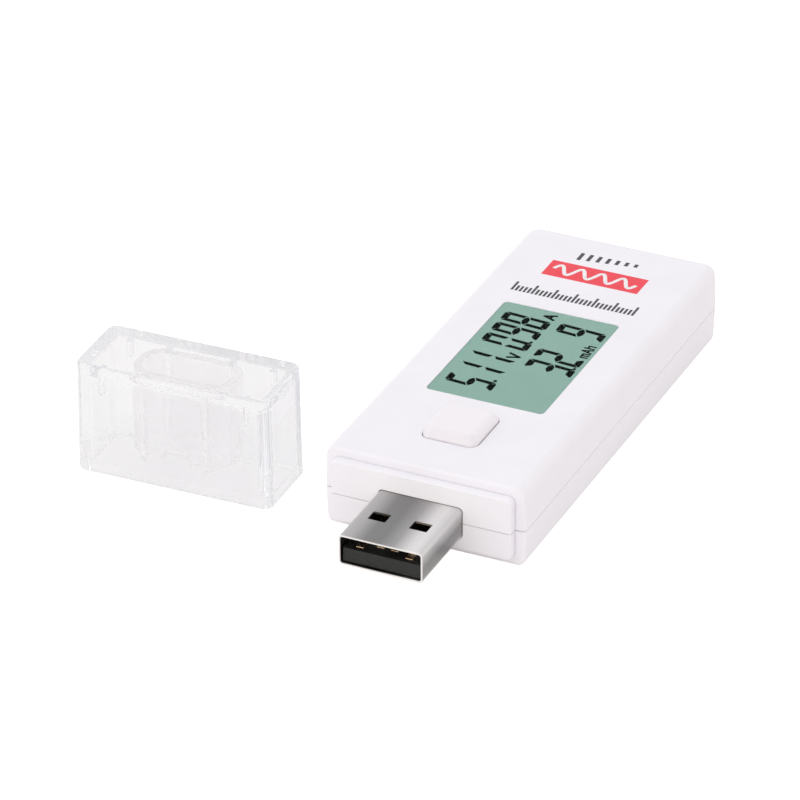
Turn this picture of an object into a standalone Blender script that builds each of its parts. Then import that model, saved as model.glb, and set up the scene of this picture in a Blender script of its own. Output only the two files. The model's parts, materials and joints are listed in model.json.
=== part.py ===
"""USB power meter: a two-shell pocket tester with its loose plug cap standing beside it.

The origin is the centre of the case's underside. +Z is up, -Y is the plug end, +Y the socket end.
Lengths are in metres, written as millimetres times MM. A y given "from the nose" is measured
from the plane of the case's front wall, towards the socket.
"""
import math

import bmesh
import bpy
from mathutils import Matrix

MM = 0.001

# Driving dimensions: the case
CASE_WIDTH = 28.4 * MM
CASE_LENGTH = 67.3 * MM
CASE_HEIGHT = 11.6 * MM
WALL = 1.3 * MM
FRONT_CORNER = 0.45 * MM
BACK_CORNER = 1.9 * MM
TOP_EDGE = 1.3 * MM
BOTTOM_EDGE = 0.85 * MM
FRONT_EDGE = 0.3 * MM
SEAM_BULGE = 0.25 * MM
SEAM_HEIGHT = 5.3 * MM
SEAM_GAP = 0.2 * MM
NOSE_STEP = 1.25 * MM
NOSE_REACH = 1.3 * MM
NOSE_CORNER = 0.8 * MM
NOSE_EDGE = 0.25 * MM
LIP_WALL = 0.45 * MM
LIP_HEIGHT = 1.2 * MM
GAP = 0.3 * MM

# The USB-A plug and socket, to the connector standard
PLUG_WIDTH = 12.0 * MM
PLUG_HEIGHT = 4.5 * MM
PLUG_REACH = 13.6 * MM
PLUG_DEPTH = 5.0 * MM
SHEET = 0.3 * MM
SOCKET_WIDTH = 13.1 * MM
SOCKET_HEIGHT = 5.7 * MM
SOCKET_LENGTH = 13.3 * MM
SOCKET_LEVEL = 5.75 * MM
TONGUE_WIDTH = 11.1 * MM
CONTACT_PLACES = (-3.5 * MM, -1.0 * MM, 1.0 * MM, 3.5 * MM)

# The display
WINDOW_WIDTH = 17.4 * MM
WINDOW_LENGTH = 26.65 * MM
WINDOW_CORNER = 0.65 * MM
WINDOW_FROM_NOSE = 32.1 * MM

# The button and its switch
BUTTON_WIDTH = 7.9 * MM
BUTTON_LENGTH = 8.7 * MM
BUTTON_RISE = 1.3 * MM
BUTTON_DRAFT = 1.0 * MM
BUTTON_CORNER = 1.3 * MM
BUTTON_FROM_NOSE = 11.55 * MM
FLANGE_MARGIN = 0.9 * MM

# The board, and the pegs that clamp it between the shells
BOARD_WIDTH = 24.8 * MM
BOARD_TOP = 5.05 * MM
BOARD_THICKNESS = 1.0 * MM
BOARD_START = 5.3 * MM
BOARD_END = 65.6 * MM
PEG_SIDE = 10.6 * MM
PEG_PLACES = (9.3 * MM, 50.2 * MM)
PEG_RADIUS = 0.8 * MM

# The cap. Its mouth slides over the nose and meets the case's front wall
CAP_HEIGHT = 16.5 * MM
CAP_ROOF = 2.2 * MM
CAP_SIDE_WALL = 1.6 * MM
CAP_FLARE = 0.17 * MM
CAP_RECESS = 1.5 * MM
CAP_CORNER = 1.5 * MM
CAP_CLEARANCE = 0.1 * MM
CAP_CENTRE = (-36.6 * MM, -29.2 * MM)
CAP_TURN = math.radians(1.4)
SLEEVE_WIDTH = 12.8 * MM
SLEEVE_DEPTH = 5.3 * MM
SLEEVE_WALL = 1.0 * MM
SLEEVE_START = 3.3 * MM

# Values that follow from the ones above
FRONT_Y = -CASE_LENGTH / 2
BACK_Y = CASE_LENGTH / 2
ROOF = CASE_HEIGHT - WALL
PLUG_LEVEL = SEAM_HEIGHT
BOARD_BOTTOM = BOARD_TOP - BOARD_THICKNESS
WINDOW_Y = FRONT_Y + WINDOW_FROM_NOSE
BUTTON_Y = FRONT_Y + BUTTON_FROM_NOSE
SOCKET_Y = BACK_Y - GAP - SOCKET_LENGTH / 2
CLEAR = 1.0 * MM


# ---------------------------------------------------------------- scene and materials

def clear_scene():
    for old in list(bpy.data.objects):
        bpy.data.objects.remove(old, do_unlink=True)


def new_collection(name):
    collection = bpy.data.collections.new(name)
    bpy.context.scene.collection.children.link(collection)
    return collection


def finish(name, colour, roughness, metallic=0.0, transmission=0.0):
    """A Principled material from a linear colour."""
    material = bpy.data.materials.new(name)
    material.use_nodes = True
    shader = material.node_tree.nodes["Principled BSDF"]
    shader.inputs["Base Color"].default_value = (*colour, 1.0)
    shader.inputs["Roughness"].default_value = roughness
    shader.inputs["Metallic"].default_value = metallic
    shader.inputs["Transmission Weight"].default_value = transmission
    return material


def make_finishes():
    return {
        "case": finish("white_plastic", (0.86, 0.85, 0.88), 0.35),
        "key": finish("key_plastic", (0.87, 0.84, 0.86), 0.4),
        "clear": finish("clear_plastic", (0.95, 0.95, 0.96), 0.03, transmission=1.0),
        "display": finish("display_glass", (0.28, 0.45, 0.38), 0.15),
        "film": finish("reflector_film", (0.6, 0.66, 0.6), 0.5),
        "steel": finish("plated_steel", (0.55, 0.55, 0.56), 0.25, metallic=1.0),
        "insulator": finish("dark_insulator", (0.03, 0.035, 0.037), 0.4),
        "pale_insulator": finish("pale_insulator", (0.8, 0.8, 0.78), 0.4),
        "contact": finish("gold_contact", (0.8, 0.5, 0.2), 0.25, metallic=1.0),
        "board": finish("green_board", (0.02, 0.18, 0.07), 0.45),
        "chip": finish("black_resin", (0.02, 0.02, 0.02), 0.5),
        "resistor": finish("resistor_body", (0.05, 0.05, 0.06), 0.4),
        "capacitor": finish("capacitor_body", (0.62, 0.38, 0.08), 0.5),
        "rubber": finish("zebra_rubber", (0.25, 0.22, 0.2), 0.7),
    }


# ---------------------------------------------------------------- shapes

def block_mesh(width, depth, height, corner=0.0, top=0.0, steps=5):
    """A box about its centre with rounded upright edges and a rounded top rim."""
    bm = bmesh.new()
    bmesh.ops.create_cube(bm, size=1.0)
    bmesh.ops.scale(bm, vec=(width, depth, height), verts=bm.verts)
    tiny = 0.001 * MM

    def upright(edge):
        return abs(edge.verts[0].co.z - edge.verts[1].co.z) > tiny

    def round_off(edges, radius, segments):
        bmesh.ops.bevel(bm, geom=edges, offset=radius, segments=segments, profile=0.5,
                        affect="EDGES", clamp_overlap=False)

    if corner:
        round_off([e for e in bm.edges if upright(e)], corner, steps)
    if top:
        rim = [e for e in bm.edges if all(abs(v.co.z - height / 2) < tiny for v in e.verts)]
        round_off(rim, top, max(2, steps - 1))
    return bm


def outline(half_width, half_length, front, back, steps=4):
    """Points round a rectangle with rounded corners, front ones at -Y and back ones at +Y."""
    corners = ((1, 1, back), (-1, 1, back), (-1, -1, front), (1, -1, front))
    points = []
    for number, (side, end, radius) in enumerate(corners):
        x = side * (half_width - radius)
        y = end * (half_length - radius)
        for step in range(steps + 1):
            angle = math.radians(90) * (number + step / steps)
            points.append((x + radius * math.cos(angle), y + radius * math.sin(angle)))
    return points


def loft_mesh(rings):
    """A closed solid through rings of (x, y, z) points, lowest first, all with the same count."""
    bm = bmesh.new()
    rings = [[bm.verts.new(point) for point in ring] for ring in rings]
    for low, high in zip(rings, rings[1:]):
        for k in range(len(low)):
            after = (k + 1) % len(low)
            bm.faces.new((low[k], low[after], high[after], high[k]))
    bm.faces.new(list(reversed(rings[0])))
    bm.faces.new(rings[-1])
    return bm


def quarter_round(radius, steps=5):
    """(rise, inset) pairs from the foot of a rounded rim to the flat that it ends in."""
    angles = [math.radians(90) * step / steps for step in range(steps + 1)]
    return [(radius * math.sin(a), radius - radius * math.cos(a)) for a in angles]


def add_object(name, bm, collection, material=None, location=(0, 0, 0), turn=None):
    if turn is not None:
        bmesh.ops.transform(bm, matrix=turn, verts=bm.verts)
    mesh = bpy.data.meshes.new(name)
    bm.to_mesh(mesh)
    bm.free()
    obj = bpy.data.objects.new(name, mesh)
    obj.location = location
    if material:
        mesh.materials.append(material)
    collection.objects.link(obj)
    return obj


TOWARDS_PLUG = Matrix.Rotation(math.radians(90), 4, "X")


class Builder:
    """Adds parts and tool shapes to their two collections."""

    def __init__(self, parts, tools, finishes):
        self.parts = parts
        self.tools = tools
        self.finishes = finishes

    def block(self, name, size, centre, material=None, **rounding):
        """An upright block: rounding is on the edges along Z and the rims at its ends."""
        bm = block_mesh(*size, **rounding)
        return self._place(name, bm, centre, material)

    def lying_block(self, name, size, centre, material=None, **rounding):
        """A block drawn along Y, whose top rim faces the plug end. Size is along x, y, z."""
        width, depth, height = size
        bm = block_mesh(width, height, depth, **rounding)
        return self._place(name, bm, centre, material, TOWARDS_PLUG)

    def loft(self, name, rings, material=None):
        return self._place(name, loft_mesh(rings), (0, 0, 0), material)

    def cylinder(self, name, radius, length, centre, material=None, steps=20, turn=None):
        bm = bmesh.new()
        bmesh.ops.create_cone(bm, cap_ends=True, segments=steps, radius1=radius,
                              radius2=radius, depth=length)
        obj = self._place(name, bm, centre, material, turn)
        obj.data.shade_smooth()
        obj.data.set_sharp_from_angle(angle=math.radians(35))
        return obj

    def _place(self, name, bm, centre, material, turn=None):
        if material:
            return add_object(name, bm, self.parts, self.finishes[material], centre, turn)
        tool = add_object(name, bm, self.tools, None, centre, turn)
        tool.hide_render = True
        tool.display_type = "WIRE"
        return tool


def combine(target, operation, *tools):
    for tool in tools:
        step = target.modifiers.new(tool.name, "BOOLEAN")
        step.operation = operation
        step.solver = "EXACT"
        step.object = tool


def cut(target, *tools):
    combine(target, "DIFFERENCE", *tools)


def join(target, *tools):
    combine(target, "UNION", *tools)


# ---------------------------------------------------------------- the case

def rim_depths(*radii):
    """Depths below a flat at which its rounded rims need a ring, deepest first."""
    return sorted({radius - rise for radius in radii for rise, _ in quarter_round(radius, 4)},
                  reverse=True)


def rim_inset(radius, depth):
    """How far a rounded rim has drawn in, at a depth below the flat that it ends in."""
    short = max(radius - depth, 0.0)
    return radius - math.sqrt(radius ** 2 - short ** 2)


def case_ring(z, depth, edge, slope):
    """The case's outline at one level, at a depth inside the top or the underside.

    The long walls and the back wall round over by the edge's radius, and the front wall by less.
    The long walls also lean out with depth.
    """
    side = rim_inset(edge, depth)
    front = rim_inset(FRONT_EDGE, depth)
    half_width = CASE_WIDTH / 2 + slope * depth - side
    half_length = (CASE_LENGTH - side - front) / 2
    shift = (front - side) / 2
    back_corner = max(BACK_CORNER - side, FRONT_CORNER)
    ring = outline(half_width, half_length, FRONT_CORNER, back_corner)
    return [(x, y + shift, z) for x, y in ring]


def upper_form(make, name):
    """The outer form of the upper shell: its long walls lean in from the seam to the top."""
    slope = SEAM_BULGE / (CASE_HEIGHT - SEAM_HEIGHT)
    depths = [CASE_HEIGHT - SEAM_HEIGHT + CLEAR] + rim_depths(TOP_EDGE, FRONT_EDGE)
    rings = [case_ring(CASE_HEIGHT - depth, depth, TOP_EDGE, slope) for depth in depths]
    return make.loft(name, rings, "case")


def lower_form(make, name):
    """The outer form of the lower shell: its long walls lean in from the seam to the underside."""
    slope = SEAM_BULGE / SEAM_HEIGHT
    depths = list(reversed(rim_depths(BOTTOM_EDGE, FRONT_EDGE))) + [SEAM_HEIGHT + CLEAR]
    rings = [case_ring(depth, depth, BOTTOM_EDGE, slope) for depth in depths]
    return make.loft(name, rings, "case")


def ring_block(make, name, inset, low, high):
    """A block that follows the case's outline at an inset, for the cavity and the lip."""
    size = (CASE_WIDTH - 2 * inset, CASE_LENGTH - 2 * inset, high - low)
    return make.block(name, size, (0, 0, (high + low) / 2), corner=0.8 * MM)


def case_tools(make):
    """The shapes that both shells share."""
    nose_depth = NOSE_REACH + WALL / 2
    nose = make.lying_block(
        "nose_form",
        (CASE_WIDTH - 2 * NOSE_STEP, nose_depth, CASE_HEIGHT - 2 * NOSE_STEP),
        (0, FRONT_Y - NOSE_REACH + nose_depth / 2, CASE_HEIGHT / 2),
        corner=NOSE_CORNER, top=NOSE_EDGE)
    cavity = ring_block(make, "cavity_form", WALL, WALL, ROOF)
    plug_hole = make.lying_block(
        "plug_hole", (PLUG_WIDTH + 2 * GAP, 6 * MM, PLUG_HEIGHT + 2 * GAP),
        (0, FRONT_Y, PLUG_LEVEL), corner=0.6 * MM)
    socket_hole = make.lying_block(
        "socket_hole", (SOCKET_WIDTH + 2 * GAP, 6 * MM, SOCKET_HEIGHT + 2 * GAP),
        (0, BACK_Y, SOCKET_LEVEL), corner=0.4 * MM)
    return nose, cavity, plug_hole, socket_hole


def half_space(make, name, low, high):
    size = (CASE_WIDTH + 4 * MM, CASE_LENGTH + 8 * MM, high - low)
    return make.block(name, size, (0, 0, (low + high) / 2))


def peg_sites():
    return [(side * PEG_SIDE, FRONT_Y + place) for side in (-1, 1) for place in PEG_PLACES]


def make_top_case(make, tools):
    nose, cavity, plug_hole, socket_hole = tools
    shell = upper_form(make, "top_case")
    below = half_space(make, "below_seam", -CLEAR, SEAM_HEIGHT + SEAM_GAP / 2)
    rebate = ring_block(make, "rebate_form", WALL - LIP_WALL - GAP, SEAM_HEIGHT - CLEAR,
                        SEAM_HEIGHT + LIP_HEIGHT + GAP)
    window = make.block("window_hole", (WINDOW_WIDTH, WINDOW_LENGTH, 4 * MM),
                        (0, WINDOW_Y, CASE_HEIGHT), corner=WINDOW_CORNER)
    button_hole = make.block(
        "button_hole", (BUTTON_WIDTH + 2 * GAP, BUTTON_LENGTH + 2 * GAP, 4 * MM),
        (0, BUTTON_Y, CASE_HEIGHT), corner=BUTTON_CORNER + GAP)
    join(shell, nose)
    cut(shell, below, cavity, rebate, window, button_hole, plug_hole, socket_hole)
    post_radius = 2 * PEG_RADIUS
    post_foot = BOARD_TOP + GAP
    pin_tip = 2.2 * MM
    for number, (x, y) in enumerate(peg_sites(), 1):
        post_top = ROOF + WALL / 3
        post = make.cylinder(f"post_{number}", post_radius, post_top - post_foot,
                             (x, y, (post_top + post_foot) / 2))
        pin_top = post_foot + CLEAR
        pin = make.cylinder(f"pin_{number}", PEG_RADIUS, pin_top - pin_tip,
                            (x, y, (pin_top + pin_tip) / 2), steps=14)
        join(shell, post, pin)
    return shell


def make_bottom_case(make, tools):
    nose, cavity, plug_hole, socket_hole = tools
    shell = lower_form(make, "bottom_case")
    above = half_space(make, "above_seam", SEAM_HEIGHT - SEAM_GAP / 2, CASE_HEIGHT + CLEAR)
    lip = ring_block(make, "lip_form", WALL - LIP_WALL, SEAM_HEIGHT - CLEAR,
                     SEAM_HEIGHT + LIP_HEIGHT)
    join(shell, nose)
    cut(shell, above)
    join(shell, lip)
    cut(shell, cavity, plug_hole, socket_hole)
    boss_top = BOARD_BOTTOM - GAP
    boss_foot = WALL / 2
    bore_foot = 1.8 * MM
    for number, (x, y) in enumerate(peg_sites(), 1):
        boss = make.cylinder(f"boss_{number}", 1.9 * MM, boss_top - boss_foot,
                             (x, y, (boss_top + boss_foot) / 2))
        bore = make.cylinder(f"boss_bore_{number}", PEG_RADIUS + GAP, boss_top - bore_foot + CLEAR,
                             (x, y, (boss_top + bore_foot + CLEAR) / 2), steps=14)
        join(shell, boss)
        cut(shell, bore)
    return shell


# ---------------------------------------------------------------- display and button

def make_display(make):
    lens_top = CASE_HEIGHT - 0.1 * MM
    lens_thickness = 0.3 * MM
    side_gap = 0.15 * MM
    face = (WINDOW_WIDTH - 2 * side_gap, WINDOW_LENGTH - 2 * side_gap)
    make.block("window_lens", (*face, lens_thickness),
               (0, WINDOW_Y, lens_top - lens_thickness / 2), "clear", corner=WINDOW_CORNER)

    front_top = lens_top - lens_thickness - 0.1 * MM
    rear_top = ROOF - 0.4 * MM
    rear_bottom = rear_top - 1.0 * MM
    ledge = 0.5 * MM
    panel = make.block("lcd_panel", (21.6 * MM, 28.0 * MM, rear_top - rear_bottom),
                       (ledge, WINDOW_Y, (rear_top + rear_bottom) / 2), "display")
    front_bottom = rear_top - 0.1 * MM
    front = make.block("front_glass", (*face, front_top - front_bottom),
                       (0, WINDOW_Y, (front_top + front_bottom) / 2), corner=WINDOW_CORNER)
    join(panel, front)

    film_top = rear_bottom - GAP
    make.block("lcd_reflector", (17.6 * MM, 26.4 * MM, 0.5 * MM),
               (0, WINDOW_Y, film_top - 0.25 * MM), "film")

    frame_top = film_top
    frame_foot = BOARD_TOP + GAP
    frame = make.block("lcd_frame", (23.6 * MM, 29.0 * MM, frame_top - frame_foot),
                       (0, WINDOW_Y, (frame_top + frame_foot) / 2), "pale_insulator",
                       corner=0.5 * MM, steps=2)
    pocket = make.block("frame_pocket", (18.2 * MM, 27.0 * MM, 2 * MM),
                        (0, WINDOW_Y, frame_top - 0.8 * MM + 1.0 * MM))
    well = make.block("frame_well", (15.6 * MM, 24.4 * MM, 8 * MM), (0, WINDOW_Y, frame_top))
    slot_x = 10.3 * MM
    slot = make.block("zebra_slot", (1.8 * MM, 25.0 * MM, 8 * MM), (slot_x, WINDOW_Y, frame_top))
    cut(frame, pocket, well, slot)

    strip_foot = BOARD_TOP + 0.15 * MM
    strip_top = rear_bottom - 0.15 * MM
    make.block("zebra_strip", (1.4 * MM, 24.4 * MM, strip_top - strip_foot),
               (slot_x, WINDOW_Y, (strip_top + strip_foot) / 2), "rubber")


def make_button(make):
    """The key stands on a flange under the roof, with a stem over the switch."""
    height = BUTTON_RISE
    bm = block_mesh(BUTTON_WIDTH, BUTTON_LENGTH, height, corner=BUTTON_CORNER)
    for vert in bm.verts:
        if vert.co.z > 0:
            vert.co.x *= 1 - 2 * BUTTON_DRAFT / BUTTON_WIDTH
            vert.co.y *= 1 - 2 * BUTTON_DRAFT / BUTTON_LENGTH
    crown = [e for e in bm.edges if all(v.co.z > 0 for v in e.verts)]
    bmesh.ops.bevel(bm, geom=crown, offset=0.3 * MM, segments=2, profile=0.5,
                    affect="EDGES", clamp_overlap=False)
    top_z = CASE_HEIGHT + height
    key = add_object("mode_button", bm, make.parts, make.finishes["key"],
                     (0, BUTTON_Y, top_z - height / 2))
    flange_top = ROOF - GAP
    flange_bottom = flange_top - 0.8 * MM
    neck_top = CASE_HEIGHT + 0.01 * MM
    neck = make.block("button_neck", (BUTTON_WIDTH, BUTTON_LENGTH, neck_top - flange_bottom),
                      (0, BUTTON_Y, (neck_top + flange_bottom) / 2), corner=BUTTON_CORNER)
    flange = make.block(
        "button_flange",
        (BUTTON_WIDTH + 2 * FLANGE_MARGIN, BUTTON_LENGTH + 2 * FLANGE_MARGIN,
         flange_top - flange_bottom),
        (0, BUTTON_Y, (flange_top + flange_bottom) / 2), corner=BUTTON_CORNER)
    stem_bottom = 9.0 * MM
    stem = make.cylinder("button_stem", 1.5 * MM, flange_top - stem_bottom,
                         (0, BUTTON_Y, (flange_top + stem_bottom) / 2))
    join(key, neck, flange, stem)


def make_switch(make):
    """A 6 mm tactile switch. Its plunger is held under the cover by a collar."""
    foot = BOARD_TOP + 0.1 * MM
    cover_top = foot + 1.7 * MM
    body = make.block("switch_body", (6 * MM, 6 * MM, cover_top - foot),
                      (0, BUTTON_Y, (cover_top + foot) / 2), "chip", corner=0.4 * MM, steps=2)
    well_foot = foot + 0.2 * MM
    well_top = cover_top - 0.4 * MM
    well = make.cylinder("switch_well", 2.6 * MM, well_top - well_foot,
                         (0, BUTTON_Y, (well_top + well_foot) / 2))
    throat = make.cylinder("switch_throat", 1.75 * MM, 2 * MM, (0, BUTTON_Y, cover_top))
    cut(body, well, throat)

    collar_top = well_top - 0.15 * MM
    collar_bottom = collar_top - 0.3 * MM
    shaft_top = 8.7 * MM
    plunger = make.cylinder("switch_plunger", 1.5 * MM, shaft_top - collar_bottom,
                            (0, BUTTON_Y, (shaft_top + collar_bottom) / 2), "pale_insulator")
    collar = make.cylinder("plunger_collar", 2.3 * MM, collar_top - collar_bottom,
                           (0, BUTTON_Y, (collar_top + collar_bottom) / 2))
    join(plunger, collar)

    bm = bmesh.new()
    bmesh.ops.create_uvsphere(bm, u_segments=20, v_segments=10, radius=2.2 * MM)
    bmesh.ops.bisect_plane(bm, geom=bm.verts[:] + bm.edges[:] + bm.faces[:], plane_co=(0, 0, 0),
                           plane_no=(0, 0, 1), clear_inner=True)
    bmesh.ops.scale(bm, vec=(1, 1, 0.08), verts=bm.verts)
    dome = add_object("switch_dome", bm, make.parts, make.finishes["steel"],
                      (0, BUTTON_Y, well_foot + 0.06 * MM))
    skin = dome.modifiers.new("thickness", "SOLIDIFY")
    skin.thickness = 0.05 * MM
    skin.offset = 1.0


# ---------------------------------------------------------------- connectors

def make_contacts(make, prefix, level, thickness, ends):
    """Four strips side by side. ends gives each strip's first and last y from the nose."""
    for number, (x, (start, stop)) in enumerate(zip(CONTACT_PLACES, ends), 1):
        make.block(f"{prefix}_contact_{number}", (1.1 * MM, stop - start, thickness),
                   (x, FRONT_Y + (start + stop) / 2, level), "contact", corner=0.2 * MM, steps=2)


def contact_channels(make, prefix, level, height, start, stop):
    return [make.block(f"{prefix}_channel_{number}", (1.5 * MM, stop - start, height),
                       (x, FRONT_Y + (start + stop) / 2, level))
            for number, x in enumerate(CONTACT_PLACES, 1)]


def make_plug(make):
    tip = FRONT_Y - PLUG_REACH
    length = PLUG_REACH + PLUG_DEPTH
    middle = (0, tip + length / 2, PLUG_LEVEL)
    shell = make.lying_block("plug_shell", (PLUG_WIDTH, length, PLUG_HEIGHT), middle, "steel",
                             corner=0.55 * MM, steps=3)
    bore = make.lying_block("plug_bore",
                            (PLUG_WIDTH - 2 * SHEET, length + CLEAR, PLUG_HEIGHT - 2 * SHEET),
                            middle, corner=0.25 * MM, steps=3)
    cut(shell, bore)
    window_y = tip + 6.1 * MM
    for side in (-1, 1):
        window = make.block(f"latch_window_{side + 2}", (2.5 * MM, 2.0 * MM, 8 * MM),
                            (side * 2.95 * MM, window_y, PLUG_LEVEL))
        cut(shell, window)
        ear = make.block(f"plug_ear_{side + 2}", (SHEET, 3.0 * MM, 2.0 * MM),
                         (side * (PLUG_WIDTH - SHEET) / 2, FRONT_Y + PLUG_DEPTH + 1.0 * MM,
                          PLUG_LEVEL - 0.9 * MM))
        join(shell, ear)

    floor = PLUG_LEVEL - PLUG_HEIGHT / 2 + SHEET + 0.1 * MM
    tongue_top = floor + 1.8 * MM
    tongue_tip = tip + 0.4 * MM
    block_start = FRONT_Y - 0.5 * MM
    block_end = FRONT_Y + PLUG_DEPTH - 0.4 * MM
    tongue = make.block("plug_tongue", (TONGUE_WIDTH, block_end - tongue_tip, tongue_top - floor),
                        (0, (block_end + tongue_tip) / 2, (tongue_top + floor) / 2), "insulator")
    block_top = PLUG_LEVEL + PLUG_HEIGHT / 2 - SHEET - 0.15 * MM
    block = make.block("plug_block", (TONGUE_WIDTH - 0.2 * MM, block_end - block_start - 0.1 * MM,
                                      block_top - floor - 0.2 * MM),
                       (0, (block_end + block_start - 0.1 * MM) / 2,
                        (block_top + floor + 0.2 * MM) / 2))
    join(tongue, block)
    strip = 0.25 * MM
    strip_level = tongue_top + 0.1 * MM + strip / 2
    cut(tongue, *contact_channels(make, "plug", strip_level, 0.55 * MM, -1.0 * MM, 6.0 * MM))
    tail = PLUG_DEPTH + 2.3 * MM
    power = (-12.4 * MM, tail)
    data = (-11.4 * MM, tail)
    make_contacts(make, "plug", strip_level, strip, (power, data, data, power))


def make_socket(make):
    middle = (0, SOCKET_Y, SOCKET_LEVEL)
    shell = make.lying_block("socket_shell", (SOCKET_WIDTH, SOCKET_LENGTH, SOCKET_HEIGHT), middle,
                             "steel", corner=0.4 * MM, steps=2)
    bore = make.lying_block(
        "socket_bore",
        (SOCKET_WIDTH - 2 * SHEET, SOCKET_LENGTH + CLEAR, SOCKET_HEIGHT - 2 * SHEET), middle)
    cut(shell, bore)
    for side in (-1, 1):
        wing = make.block(f"socket_wing_{side + 2}", (2.2 * MM, 3.0 * MM, SHEET),
                          (side * (SOCKET_WIDTH / 2 + 0.95 * MM), SOCKET_Y - 2.5 * MM,
                           BOARD_TOP + 0.35 * MM))
        join(shell, wing)

    back = SOCKET_Y - SOCKET_LENGTH / 2 + 0.1 * MM
    block_depth = 3.8 * MM
    block_height = SOCKET_HEIGHT - 2 * SHEET - GAP
    tongue_foot = SOCKET_LEVEL + 0.05 * MM
    tongue_thickness = 1.8 * MM
    tongue_end = BACK_Y - 1.1 * MM
    tongue = make.block("socket_tongue", (TONGUE_WIDTH, tongue_end - back, tongue_thickness),
                        (0, (tongue_end + back) / 2, tongue_foot + tongue_thickness / 2),
                        "pale_insulator")
    block = make.block("socket_block", (12.2 * MM, block_depth, block_height),
                       (0, back + block_depth / 2 + 0.05 * MM, SOCKET_LEVEL))
    join(tongue, block)
    strip = 0.2 * MM
    strip_level = tongue_foot - 0.15 * MM - strip / 2
    block_from_nose = back - FRONT_Y
    cut(tongue, *contact_channels(make, "socket", strip_level, 0.6 * MM,
                                  block_from_nose - CLEAR, block_from_nose + block_depth + CLEAR))
    reach = (block_from_nose - 2.0 * MM, tongue_end - FRONT_Y - 0.6 * MM)
    make_contacts(make, "socket", strip_level, strip, (reach,) * 4)


# ---------------------------------------------------------------- the board and its parts

def make_board(make):
    length = BOARD_END - BOARD_START
    board = make.block("main_board", (BOARD_WIDTH, length, BOARD_THICKNESS),
                       (0, FRONT_Y + BOARD_START + length / 2, BOARD_TOP - BOARD_THICKNESS / 2),
                       "board", corner=0.8 * MM, steps=3)
    bay_length = SOCKET_LENGTH + 4 * MM
    bay = make.block("socket_bay", (SOCKET_WIDTH + 2 * GAP, bay_length, 3 * MM),
                     (0, SOCKET_Y - SOCKET_LENGTH / 2 - GAP + bay_length / 2, BOARD_BOTTOM))
    cut(board, bay)
    for side in (-1, 1):
        slot = make.block(f"ear_slot_{side + 2}", (SHEET + 2 * GAP, 5.6 * MM, 3 * MM),
                          (side * (PLUG_WIDTH - SHEET) / 2, FRONT_Y + BOARD_START, BOARD_BOTTOM))
        cut(board, slot)
    for number, (x, y) in enumerate(peg_sites(), 1):
        hole = make.cylinder(f"board_hole_{number}", PEG_RADIUS + GAP, 3 * MM,
                             (x, y, BOARD_BOTTOM), steps=14)
        cut(board, hole)


def make_leaded_chip(make, name, width, length, height, rows, above, centre):
    """A resin body with a row of flat leads on each long side."""
    side = 1 if above else -1
    face = BOARD_TOP if above else BOARD_BOTTOM
    x, from_nose = centre
    y = FRONT_Y + from_nose
    lift = 0.15 * MM
    body = make.block(name, (width, length, height), (x, y, face + side * (lift + height / 2)),
                      "chip", corner=0.15 * MM, steps=1)
    pitch = length / rows
    lead_z = face + side * (lift + 0.3 * MM)
    for row in range(rows):
        lead = make.block(f"{name}_lead_{row + 1}", (width + 2.0 * MM, 0.4 * MM, 0.2 * MM),
                          (x, y + (row - (rows - 1) / 2) * pitch, lead_z))
        join(body, lead)


def make_small_parts(make):
    make_leaded_chip(make, "controller_chip", 6.0 * MM, 10.3 * MM, 1.6 * MM, 8, True,
                     (0, 32.0 * MM))
    make_leaded_chip(make, "memory_chip", 3.9 * MM, 4.9 * MM, 1.4 * MM, 4, False,
                     (-5.0 * MM, 40.0 * MM))
    make_leaded_chip(make, "amplifier_chip", 3.9 * MM, 4.9 * MM, 1.4 * MM, 4, False,
                     (5.5 * MM, 27.0 * MM))
    make_leaded_chip(make, "voltage_regulator", 2.5 * MM, 4.5 * MM, 1.5 * MM, 3, False,
                     (-6.0 * MM, 14.0 * MM))
    underside = BOARD_BOTTOM - 0.15 * MM
    chips = (
        ("current_shunt", "resistor", (3.2, 6.4, 0.7), (5.5, 18.0)),
        ("input_capacitor", "capacitor", (2.8, 3.5, 1.9), (5.0, 11.0)),
        ("output_capacitor", "capacitor", (2.8, 3.5, 1.9), (5.5, 48.0)),
    )
    for name, material, size, (x, from_nose) in chips:
        width, length, height = (side * MM for side in size)
        make.block(name, (width, length, height),
                   (x * MM, FRONT_Y + from_nose * MM, underside - height / 2), material,
                   corner=0.2 * MM, steps=2)
    can_radius = 0.95 * MM
    make.cylinder("timing_crystal", can_radius, 6 * MM,
                  (-4.5 * MM, FRONT_Y + 29.0 * MM, underside - can_radius), "steel",
                  turn=Matrix.Rotation(math.radians(90), 4, "Y"))


# ---------------------------------------------------------------- the cap

def cap_rings():
    """The cap's outer form: its four walls flare a little from the roof to the mouth."""
    edge = 0.5 * MM
    wall_top = CAP_HEIGHT - edge
    levels = [(0.0, 0.0)] + [(wall_top + rise, inset) for rise, inset in quarter_round(edge, 4)]
    rings = []
    for z, inset in levels:
        spread = CAP_FLARE * (1 - z / CAP_HEIGHT) - inset
        ring = outline(CASE_WIDTH / 2 + spread, CASE_HEIGHT / 2 + spread, CAP_CORNER - inset,
                       CAP_CORNER - inset)
        rings.append([(x, y, z) for x, y in ring])
    return rings


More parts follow.
